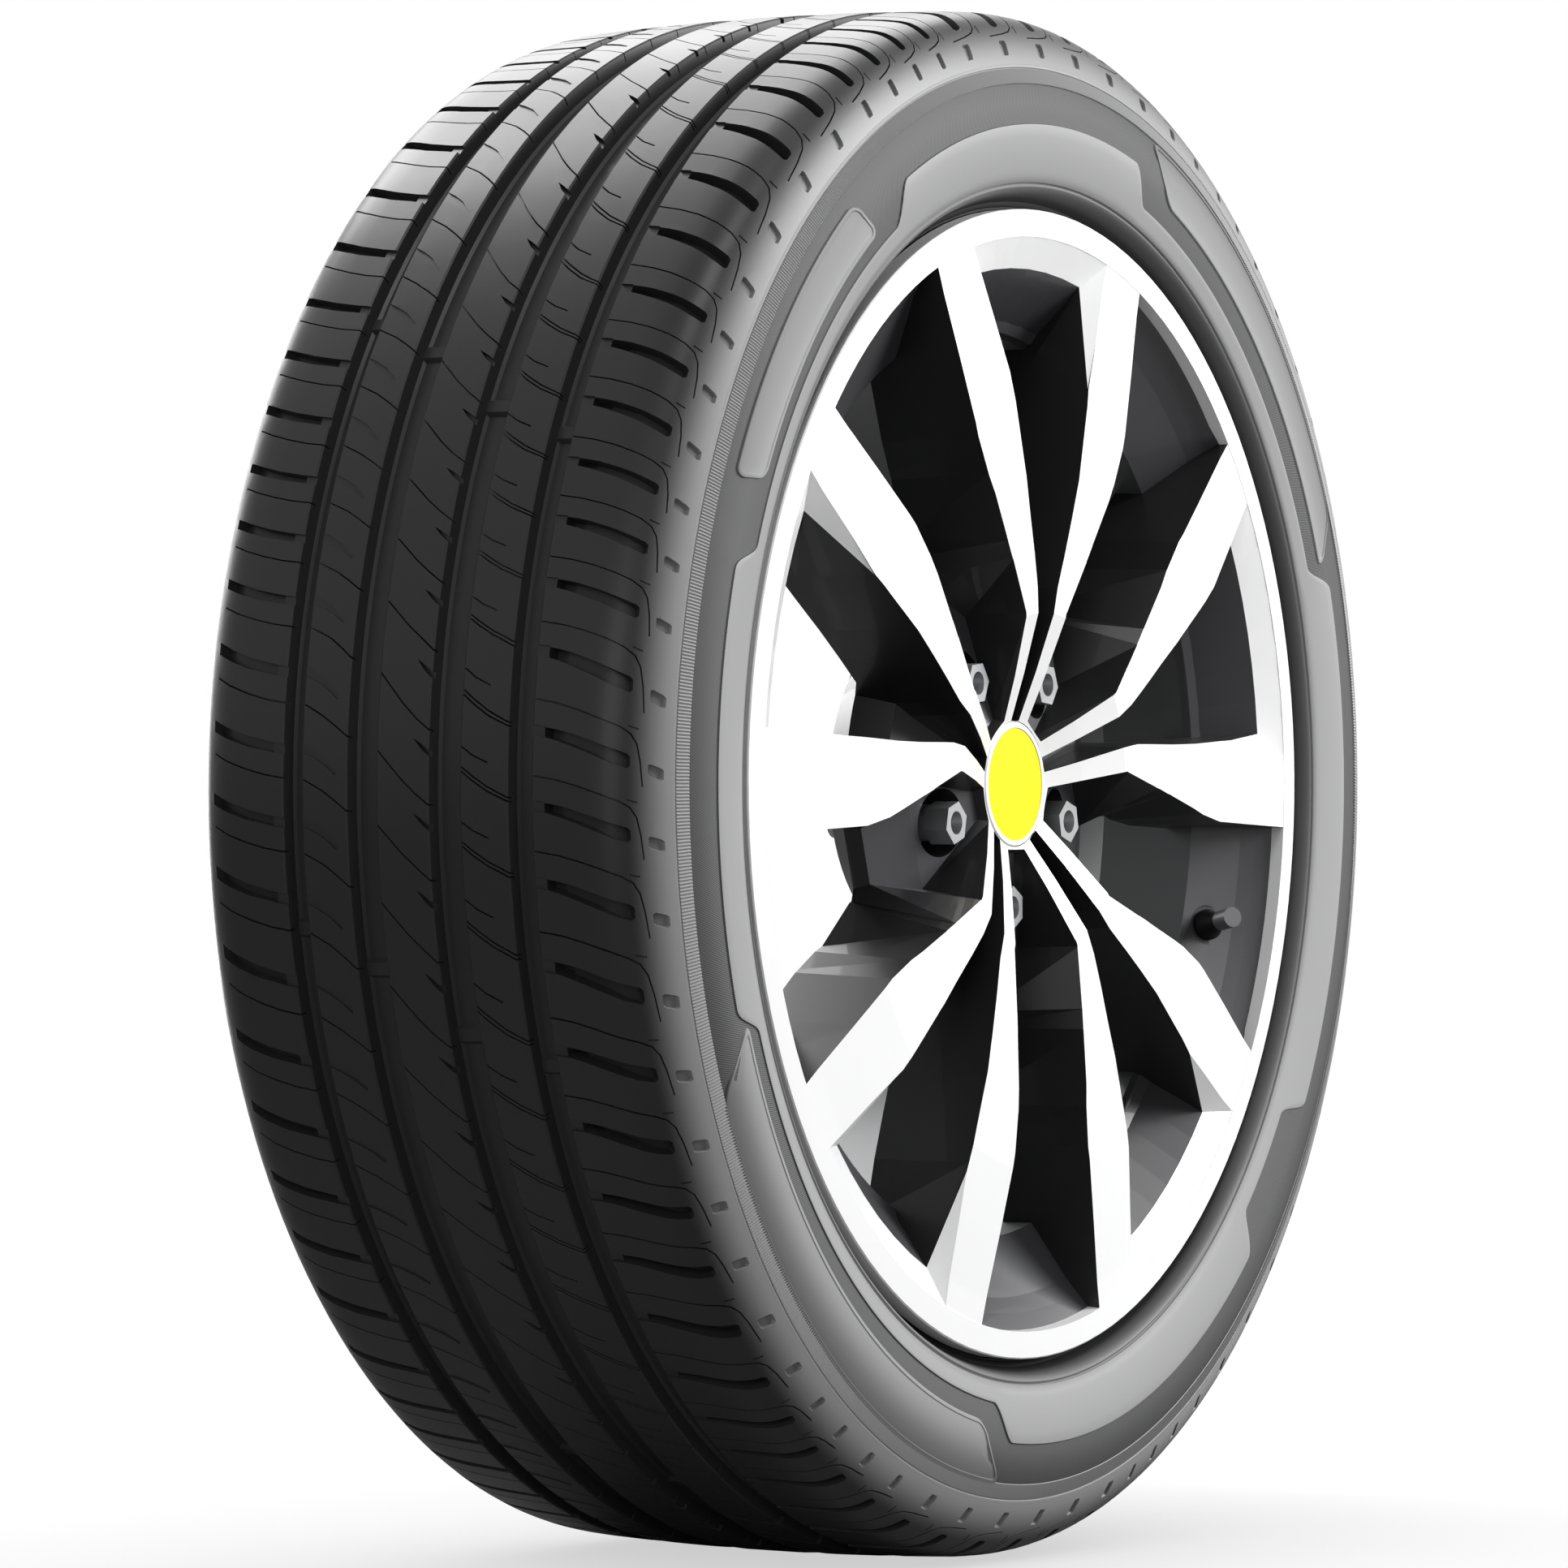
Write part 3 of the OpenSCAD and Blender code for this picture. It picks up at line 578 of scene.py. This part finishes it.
def serrations(outline, sizes):
    """Ring of fine ribs under the shoulder."""
    count = sizes.rib_count
    rows = []
    for r in RIB_RADII:
        row = []
        for j in range(2 * count):
            radius, height = outline.point(outline.arc_at_radius(r), RIB_TOP if j % 2 else RIB_FLOOR)
            row.append(around(radius, height, math.pi * j / count))
        rows.append(row)
    return skin("tyre_serrations", rows, "outer")


def panel(outline, sizes, name, first, last, low, high, lean):
    """Raised bare panel with round corners, slanted ends and a raised rim."""
    loops = ((0.0, -sizes.band_depth / MM), *PANEL_RIM)
    reach = math.radians(last - first) / 2 * (low + high) / 2
    half = (high - low) / 2
    middle_a, middle_r = math.radians(first + last) / 2, (high + low) / 2
    slant = math.radians(lean) * middle_r / half

    def edge(inset):
        """Rounded rectangle, drawn in from its edge by the inset."""
        w, h, c = reach - inset, half - inset, PANEL_CORNER - inset
        line = []
        for sx, sy, start in ((1, 1, 0), (-1, 1, 90), (-1, -1, 180), (1, -1, 270)):
            for k in range(7):
                a = math.radians(start + 15 * k)
                line.append((sx * (w - c) + c * math.cos(a), sy * (h - c) + c * math.sin(a)))
        return line

    def fine(line, steps=40):
        """Adds points on the long straight stretches, so that the panel bends with the tyre."""
        out = []
        for i, q in enumerate(line):
            nxt = line[(i + 1) % len(line)]
            out.append(q)
            if abs(nxt[0] - q[0]) > 20:
                out += [(q[0] + (nxt[0] - q[0]) * k / steps, q[1] + (nxt[1] - q[1]) * k / steps)
                        for k in range(1, steps)]
        return out

    def place(q, out):
        x, y = q
        x = x + slant * y
        radius, height = outline.point(outline.arc_at_radius(middle_r + y), out)
        return around(radius, height, middle_a + x / middle_r)

    rows = [[place(q, out) for q in fine(edge(inset))] for inset, out in loops]
    # The flat of the panel: rows that close in on its long middle line
    inset, flat = loops[-1]
    for share in (0.35, 0.7, 1.0):
        row = []
        for x, y in fine(edge(inset)):
            keep = min(max(x, -(reach - half)), reach - half)
            row.append(place((x + (keep - x) * share, y * (1 - share)), flat))
        rows.append(row)
    return join_points(skin(name, rows, "inner"))


def wear_bars(outline, sizes):
    """Low bars across the floors of the grooves, in sets round the tyre."""
    points, faces = [], []
    depth = sizes.groove_depth / MM
    for middle, width, first in WEAR_BARS:
        arc, half = outline.arc_at_height(middle), width / 2
        for turn in range(WEAR_SETS):
            start = math.radians(first + 360 / WEAR_SETS * turn)
            base = len(points)
            for along in (0.0, 0.2, 0.8, 1.0):
                out = -depth + (WEAR_HEIGHT if 0 < along < 1 else -WEAR_SUNK)
                for side in (-1, 1):
                    radius, height = outline.point(arc + side * half, out)
                    points.append(around(radius, height, start + WEAR_LENGTH * along / radius))
            for k in range(3):
                a = base + 2 * k
                faces.append((a, a + 1, a + 3, a + 2))
    return mesh_object("tyre_wear_bars", points, faces)


UNDER_GROOVES = 1.5               # how far the casing lies below the floors of the grooves
# The casing's sides: radius and depth below the outline, then the bead and the hollow: radius and height
CASING_SIDE = ((333, 3.5), (322, 1.6), (310, 1.6), (297, 1.6), (285, 1.6), (272, 1.6), (264, 1.2), (259.8, 0.4))
CASING_HOLLOW = ((257.5, 101.3), (245.3, 101.3), (241.6, 99.3), (241.6, 88), (251, 86), (268, 99), (284, 110.5),
                 (300, 113.5), (318, 108), (330, 88), (335.5, 60), (336, 0))


def casing(outline, sizes):
    """Hollow body of the tyre under its skins, from bead to bead."""
    depth = sizes.groove_depth / MM + UNDER_GROOVES
    line = [outline.point(arc, -depth) for arc in (0, 40, 80, outline.arc_at_height(100))]
    line += [outline.point(outline.arc_at_radius(r), -low) for r, low in CASING_SIDE]
    line += CASING_HOLLOW
    full = line + [(r, -h) for r, h in reversed(line[1:-1])]
    rows = [circle(r, h) for r, h in full]
    return skin("tyre_casing", rows + [rows[0]], "outer")


def principled(name, colour, roughness, metallic=0.0, specular=0.5, coat=0.0):
    m = bpy.data.materials.new(name)
    m.use_nodes = True
    shader = m.node_tree.nodes["Principled BSDF"]
    shader.inputs["Base Color"].default_value = (*colour, 1)
    shader.inputs["Roughness"].default_value = roughness
    shader.inputs["Metallic"].default_value = metallic
    shader.inputs["Specular IOR Level"].default_value = specular
    shader.inputs["Coat Weight"].default_value = coat
    return m


GRAIN_HEIGHT = 0.0002             # of the bumps in the rubber, in metres


def grain(m, scale, strength):
    """Fine uneven surface on a material."""
    nodes, links = m.node_tree.nodes, m.node_tree.links
    place = nodes.new("ShaderNodeTexCoord")
    noise = nodes.new("ShaderNodeTexNoise")
    noise.inputs["Scale"].default_value = scale
    noise.inputs["Detail"].default_value = 3
    bump = nodes.new("ShaderNodeBump")
    bump.inputs["Strength"].default_value = strength
    bump.inputs["Distance"].default_value = GRAIN_HEIGHT
    links.new(place.outputs["Object"], noise.inputs["Vector"])
    links.new(noise.outputs["Fac"], bump.inputs["Height"])
    links.new(bump.outputs["Normal"], nodes["Principled BSDF"].inputs["Normal"])
    return m


def maths(tree, operation, a, b=None):
    """Math node on two sockets or numbers."""
    node = tree.nodes.new("ShaderNodeMath")
    node.operation = operation
    for k, value in enumerate((a, b)):
        if isinstance(value, (int, float)):
            node.inputs[k].default_value = value
        elif value is not None:
            tree.links.new(value, node.inputs[k])
    return node.outputs[0]


def coordinate(tree, kind, axis):
    """One coordinate of a point, or of its normal, in the object's frame."""
    place = tree.nodes.new("ShaderNodeTexCoord")
    split = tree.nodes.new("ShaderNodeSeparateXYZ")
    tree.links.new(place.outputs[kind], split.inputs["Vector"])
    return split.outputs[axis]


def polar(tree):
    """Angle about the axis and distance from it, as sockets."""
    x, z = coordinate(tree, "Object", "X"), coordinate(tree, "Object", "Z")
    square = maths(tree, "ADD", maths(tree, "MULTIPLY", x, x), maths(tree, "MULTIPLY", z, z))
    return maths(tree, "ARCTAN2", z, x), maths(tree, "SQRT", square)


def ramped(tree, value, first, last, low=0.0, high=1.0, smooth=False):
    """Socket that runs from the low number to the high one as the value runs from first to last."""
    node = tree.nodes.new("ShaderNodeMapRange")
    if smooth:
        node.interpolation_type = "SMOOTHSTEP"
    for name, number in (("From Min", first), ("From Max", last), ("To Min", low), ("To Max", high)):
        node.inputs[name].default_value = number
    tree.links.new(value, node.inputs["Value"])
    return node.outputs["Result"]


def mixed(tree, factor, low, high):
    """Socket with a colour between two, by a factor from 0 to 1."""
    mix = tree.nodes.new("ShaderNodeMix")
    mix.data_type = "RGBA"
    mix.inputs["A"].default_value = (*low, 1)
    mix.inputs["B"].default_value = (*high, 1)
    tree.links.new(factor, mix.inputs["Factor"])
    return mix.outputs["Result"]


def scaled(colour, share):
    return tuple(c * share for c in colour)


def set_colour(m, socket):
    m.node_tree.links.new(socket, m.node_tree.nodes["Principled BSDF"].inputs["Base Color"])
    return m


SHOULDER_LIGHT_RAMP = (-0.104, -0.119)  # over which Y the tread's rubber turns into the sidewall's paler colour, as painted light on the outer shoulder, in metres
RIM_SHADE_RAMP = (0.2645, 0.274)        # over which radius the sidewall grows dark towards the rim, as painted shade in the bead's hollow
PANEL_SHADE_RAMP = (0.291, 0.314)       # over which radius painted shade makes the panels grow dark towards the shoulder
BAND_SHADE_RAMP = (0.297, 0.3155)       # the same painted shade for the hatched band
HATCH_LINES = 1900                # round the tyre
HATCH_SLANT = 3400                # radians a metre outwards
HATCH_DARK, HATCH_PALE = 0.45, 1.55      # shares of the band's colour in the hatching
BAND_SHADES = (1.15, 0.6)         # shares of it at the band's inner and outer edge, where painted shade darkens it outwards
RIM_SHADE, PANEL_SHADE, INNER_SHADE = 0.02, 0.36, 0.22    # shares of the sidewall's colour kept under painted shade: by the rim, at the panels' outer ends and on the inner sidewall


def tread_rubber(colours):
    """Dark rubber that turns into the sidewall's paler colour over the outer shoulder, as painted light."""
    m = grain(principled("tread_rubber", colours.tread, 0.36, specular=0.2), 900, 0.1)
    tree = m.node_tree
    share = ramped(tree, coordinate(tree, "Object", "Y"), *SHOULDER_LIGHT_RAMP, smooth=True)
    return set_colour(m, mixed(tree, share, colours.tread, colours.side))


def matt_rubber(name, colour):
    return grain(principled(name, colour, 0.5, specular=0.2), 700, 0.08)


def inner_rubber(colours):
    """Plain rubber of the side towards the car: the outer sidewall's colour darkened by painted shade."""
    return matt_rubber("inner_rubber", scaled(colours.side, INNER_SHADE))


def side_rubber(colours):
    """Rubber with painted shade on the slope down to the rim, where the bead's hollow lies in shadow."""
    m = matt_rubber("side_rubber", colours.side)
    tree = m.node_tree
    share = ramped(tree, polar(tree)[1], *RIM_SHADE_RAMP)
    return set_colour(m, mixed(tree, share, scaled(colours.side, RIM_SHADE), colours.side))


def panel_rubber(colours):
    """Rubber of the raised panels, with painted shade that grows darker towards the shoulder."""
    m = matt_rubber("panel_rubber", colours.side)
    tree = m.node_tree
    share = ramped(tree, polar(tree)[1], *PANEL_SHADE_RAMP)
    return set_colour(m, mixed(tree, share, colours.side, scaled(colours.side, PANEL_SHADE)))


def band_rubber(colours):
    """Dark rubber with fine slanted hatching, and painted shade that deepens towards the shoulder."""
    m = principled("band_rubber", colours.band, 0.55, specular=0.2)
    tree = m.node_tree
    angle, radius = polar(tree)
    phase = maths(tree, "ADD", maths(tree, "MULTIPLY", angle, HATCH_LINES),
                  maths(tree, "MULTIPLY", radius, HATCH_SLANT))
    share = ramped(tree, maths(tree, "SINE", phase), -1.0, 1.0)
    shaded = tree.nodes.new("ShaderNodeVectorMath")
    shaded.operation = "SCALE"
    hatched = mixed(tree, share, scaled(colours.band, HATCH_DARK), scaled(colours.band, HATCH_PALE))
    tree.links.new(hatched, shaded.inputs[0])
    tree.links.new(ramped(tree, radius, *BAND_SHADE_RAMP, *BAND_SHADES), shaded.inputs["Scale"])
    return set_colour(m, shaded.outputs["Vector"])


def material(name, make, colours):
    """The material of that name, made on its first use."""
    return bpy.data.materials.get(name) or make(colours)


class TYRE_OT_tread(bpy.types.Operator):
    """Cut one block length of the tread and lay it round the tyre"""
    bl_idname = "tyre.tread"
    bl_label = "Tread"

    def execute(self, context):
        sizes, colours = context.scene.tyre_sizes, context.scene.tyre_finishes
        outline = Outline(sizes)
        tread = wrap_tread(tread_tile(outline, sizes), outline, sizes)
        rubber = material("tread_rubber", tread_rubber, colours)
        settle(tread, rubber)
        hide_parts("tyre")
        settle(wear_bars(outline, sizes), rubber, angle=20)
        return {"FINISHED"}


class TYRE_OT_sides(bpy.types.Operator):
    """Make both sidewalls, the ring of fine ribs and the hollow casing"""
    bl_idname = "tyre.sides"
    bl_label = "Sidewalls"

    def execute(self, context):
        sizes, colours = context.scene.tyre_sizes, context.scene.tyre_finishes
        outline = Outline(sizes)
        side = material("side_rubber", side_rubber, colours)
        band = material("band_rubber", band_rubber, colours)
        settle(outer_side(outline, sizes), (side, band))
        settle(inner_side(outline), material("inner_rubber", inner_rubber, colours))
        settle(serrations(outline, sizes), side, angle=5)
        settle(casing(outline, sizes), material("tread_rubber", tread_rubber, colours))
        return {"FINISHED"}


class TYRE_OT_panels(bpy.types.Operator):
    """Lay the raised bare panels on the outer sidewall"""
    bl_idname = "tyre.panels"
    bl_label = "Sidewall panels"

    def execute(self, context):
        sizes, colours = context.scene.tyre_sizes, context.scene.tyre_finishes
        outline = Outline(sizes)
        side = material("panel_rubber", panel_rubber, colours)
        for k, (first, last, low, high, lean) in enumerate(PANELS):
            settle(panel(outline, sizes, f"tyre_panel_{k + 1}", first, last, low, high, lean), side)
        return {"FINISHED"}


PAINT_LIGHT_NORMALS = (-0.35, -0.95)     # Y of the normals over which painted light makes the dark paint paler
PAINT_LIGHT_GAIN = 5                   # how many times paler the painted light makes it


def turned_metal(colours):
    return principled("turned_face", colours.turned, 0.32, specular=0.6, coat=0.3)


def dark_paint(colours):
    """Gloss paint, with painted light making the facets that face outwards paler."""
    m = principled("dark_paint", colours.paint, 0.35, specular=0.3, coat=0.15)
    tree = m.node_tree
    share = ramped(tree, coordinate(tree, "Normal", "Y"), *PAINT_LIGHT_NORMALS)
    return set_colour(m, mixed(tree, share, colours.paint, scaled(colours.paint, PAINT_LIGHT_GAIN)))


def barrel_paint(colours):
    return principled("barrel_paint", colours.barrel, 0.42, metallic=0.2)


# Where the wheel's facets have which finish: radius and height in millimetres, share of the normal
FACE_HEIGHT, FACE_SHARE = 96.0, 0.93
BEVEL_RADIUS, BEVEL_HEIGHT, BEVEL_SHARE, BEVEL_HALF = 178.0, 104.0, 0.2, 15.5
LIP_RADIUS = 246.5
BARREL_RADIUS, BARREL_HEIGHT, BARREL_SHARE = 170.0, 50.0, 0.75
FIRST_PAIR, PAIR_PITCH = 91.8, 72.0    # degrees to the window in the topmost pair, and between two pairs


def wheel_part(centre, normal):
    """Which finish a small face of the wheel has: 0 turned, 1 dark paint, 2 barrel paint."""
    r = math.hypot(centre.x, centre.z) / MM
    h = -centre.y / MM
    face = -normal.y
    radial = (normal.x * centre.x + normal.z * centre.z) / MM / r
    angle = math.degrees(math.atan2(centre.z, centre.x))
    off_pair = (angle - FIRST_PAIR + PAIR_PITCH / 2) % PAIR_PITCH - PAIR_PITCH / 2
    if h > FACE_HEIGHT and face > FACE_SHARE:
        return 0
    if r > BEVEL_RADIUS and h > BEVEL_HEIGHT and face > BEVEL_SHARE and abs(off_pair) < BEVEL_HALF:
        return 0
    if r > LIP_RADIUS and h > BEVEL_HEIGHT:
        return 0
    if r > BARREL_RADIUS and (abs(radial) > BARREL_SHARE or h < BARREL_HEIGHT):
        return 2
    return 1


class WHEEL_OT_finish(bpy.types.Operator):
    """Give the wheel its turned faces, its gloss paint and its satin barrel"""
    bl_idname = "wheel.finish"
    bl_label = "Wheel finishes"

    def execute(self, context):
        colours = context.scene.tyre_finishes
        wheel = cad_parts["wheel"]
        wheel.data.materials.clear()
        for m in (turned_metal(colours), dark_paint(colours), barrel_paint(colours)):
            wheel.data.materials.append(m)
        for polygon in wheel.data.polygons:
            polygon.material_index = wheel_part(polygon.center, polygon.normal)
        return {"FINISHED"}


class WHEEL_OT_fittings(bpy.types.Operator):
    """Give the cap, the bolts and the valve their finishes"""
    bl_idname = "wheel.fittings"
    bl_label = "Cap, bolts and valve"

    def execute(self, context):
        colours = context.scene.tyre_finishes
        steel = principled("bolt_steel", colours.bolt, 0.35, metallic=0.6)
        looks = {
            "centre_cap": principled("cap_ring", colours.turned, 0.3, specular=0.6, coat=0.4),
            "cap_disc": principled("cap_yellow", colours.badge, 0.45, specular=0.2),
            "valve_stem": principled("valve_rubber", colours.valve, 0.6, specular=0.2),
            "valve_core": steel,
            "valve_cap": principled("valve_cap", colours.valve_cap, 0.4, metallic=0.3),
        }
        for k in range(1, 6):
            looks[f"wheel_bolt_{k}"] = steel
        for name, m in looks.items():
            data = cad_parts[name].data
            data.materials.clear()
            data.materials.append(m)
        return {"FINISHED"}


# Round lamps that shine at the wheel: name, place, width in metres and power in watts
LAMPS = (("front", (2.3, -2.75, 1.7), 2.4, 215), ("top", (1.4, 1.4, 2.4), 2.6, 74),
         ("back", (0.6, 2.1, 2.4), 0.9, 23), ("edge", (0.4, 2.9, 1.1), 1.4, 36),
         ("shoulder", (-0.9, -1.3, 2.9), 0.9, 26), ("fill", (-4.3, -1.6, 0.7), 2.6, 42),
         ("rim", (1.7, 2.7, 0.5), 1.6, 80))


def lamp(name, place, size, power):
    data = bpy.data.lights.new(name, "AREA")
    data.shape, data.size, data.energy = "DISK", size, power
    obj = bpy.data.objects.new(name, data)
    bpy.context.scene.collection.objects.link(obj)
    obj.location = place
    obj.rotation_euler = (-Vector(place)).to_track_quat("-Z", "Y").to_euler()


def seen_white(tree, lit):
    """Mixes plain white into the room for the camera, for reflections and through glass."""
    path = tree.nodes.new("ShaderNodeLightPath")
    seen = path.outputs["Is Camera Ray"]
    for name in ("Is Glossy Ray", "Is Transmission Ray"):
        seen = maths(tree, "MAXIMUM", seen, path.outputs[name])
    white = tree.nodes.new("ShaderNodeBackground")
    white.inputs["Color"].default_value = (1, 1, 1, 1)
    white.inputs["Strength"].default_value = 1
    mix = tree.nodes.new("ShaderNodeMixShader")
    tree.links.new(seen, mix.inputs["Fac"])
    tree.links.new(lit, mix.inputs[1])
    tree.links.new(white.outputs[0], mix.inputs[2])
    return mix


FLOOR_COLOUR = (0.22, 0.22, 0.22)      # what the lamps and reflections meet
FLOOR_GAP = 0.0002                     # below the tyre, in metres
FLOOR_SHADE, SHADE_REACH = 0.6, 0.25   # darkest white of the floor, and how far from the tyre it starts, in metres


def floor_finish():
    """Pale floor that the camera sees as white, with the soft shade that the tyre leaves on it."""
    m = principled("floor_pale", FLOOR_COLOUR, 0.9, specular=0.0)
    nodes, links = m.node_tree.nodes, m.node_tree.links
    shade = nodes.new("ShaderNodeAmbientOcclusion")
    shade.inputs["Distance"].default_value = SHADE_REACH
    shade.samples = 8
    glow = nodes.new("ShaderNodeEmission")
    path = nodes.new("ShaderNodeLightPath")
    mix = nodes.new("ShaderNodeMixShader")
    links.new(ramped(m.node_tree, shade.outputs["AO"], 0.0, 1.0, FLOOR_SHADE), glow.inputs["Strength"])
    links.new(path.outputs["Is Camera Ray"], mix.inputs["Fac"])
    links.new(nodes["Principled BSDF"].outputs[0], mix.inputs[1])
    links.new(glow.outputs[0], mix.inputs[2])
    links.new(mix.outputs[0], nodes["Material Output"].inputs["Surface"])
    return m


class STAGE_OT_studio(bpy.types.Operator):
    """Set the floor, the light and the camera"""
    bl_idname = "stage.studio"
    bl_label = "Studio"

    def execute(self, context):
        studio, scene = context.scene.tyre_studio, context.scene
        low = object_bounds()[0]
        deselect_all()
        bpy.ops.mesh.primitive_plane_add(size=40, location=(0, 0, low[2] - FLOOR_GAP))
        floor = bpy.context.active_object
        floor.name = "floor"
        bpy.ops.object.transform_apply(location=True)
        floor.data.materials.append(floor_finish())
        floor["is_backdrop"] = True

        world = scene.world or bpy.data.worlds.new("room")
        scene.world = world
        world.use_nodes = True
        tree = world.node_tree
        room = next(n for n in tree.nodes if n.type == "BACKGROUND")
        room.inputs["Color"].default_value = (1, 1, 1, 1)
        room.inputs["Strength"].default_value = studio.room_light
        out = next(n for n in tree.nodes if n.type == "OUTPUT_WORLD")
        mix = seen_white(tree, room.outputs[0])
        tree.links.new(mix.outputs[0], out.inputs["Surface"])

        for row in LAMPS:
            lamp(*row)

        azimuth, elevation, roll = studio.azimuth, studio.elevation, studio.roll
        back = Vector((math.sin(azimuth) * math.cos(elevation), -math.cos(azimuth) * math.cos(elevation),
                       math.sin(elevation)))
        right = (-back).cross(Vector((0, 0, 1))).normalized()
        up = right.cross(-back)
        side = right * math.cos(roll) + up * math.sin(roll)
        top = up * math.cos(roll) - right * math.sin(roll)
        data = bpy.data.cameras.new("camera")
        data.lens, data.sensor_width, data.shift_x = studio.lens, 36, studio.shift
        camera = bpy.data.objects.new("camera", data)
        scene.collection.objects.link(camera)
        place = Matrix((side, top, back)).transposed().to_4x4()
        place.translation = back * studio.distance
        camera.matrix_world = place
        scene.camera = camera
        scene.view_settings.view_transform = "Standard"
        return {"FINISHED"}


class TYRE_PT_panel(bpy.types.Panel):
    """Lists the steps in order, with the sizes and colours they use"""
    bl_idname = "TYRE_PT_panel"
    bl_label = "Tyre and wheel"
    bl_space_type = "VIEW_3D"
    bl_region_type = "UI"
    bl_category = "Tyre"

    def draw(self, context):
        layout = self.layout
        for group in (context.scene.tyre_sizes, context.scene.tyre_finishes, context.scene.tyre_studio):
            box = layout.box()
            for name in group.bl_rna.properties.keys():
                if name not in ("rna_type", "name"):
                    box.prop(group, name)
        for step in STEPS:
            layout.operator(step.bl_idname)


GROUPS = {"tyre_sizes": TyreSizes, "tyre_finishes": Finishes, "tyre_studio": Studio}
STEPS = (TYRE_OT_tread, TYRE_OT_sides, TYRE_OT_panels, WHEEL_OT_finish, WHEEL_OT_fittings, STAGE_OT_studio)


def register():
    for cls in (*GROUPS.values(), *STEPS, TYRE_PT_panel):
        bpy.utils.register_class(cls)
    for name, cls in GROUPS.items():
        setattr(bpy.types.Scene, name, bpy.props.PointerProperty(type=cls))


def unregister():
    for name in GROUPS:
        delattr(bpy.types.Scene, name)
    for cls in (TYRE_PT_panel, *reversed(STEPS), *reversed(list(GROUPS.values()))):
        bpy.utils.unregister_class(cls)


def main():
    register()
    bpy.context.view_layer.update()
    bpy.ops.tyre.tread()
    bpy.ops.tyre.sides()
    bpy.ops.tyre.panels()
    bpy.ops.wheel.finish()
    bpy.ops.wheel.fittings()
    bpy.ops.stage.studio()


if __name__ == "__main__":
    main()
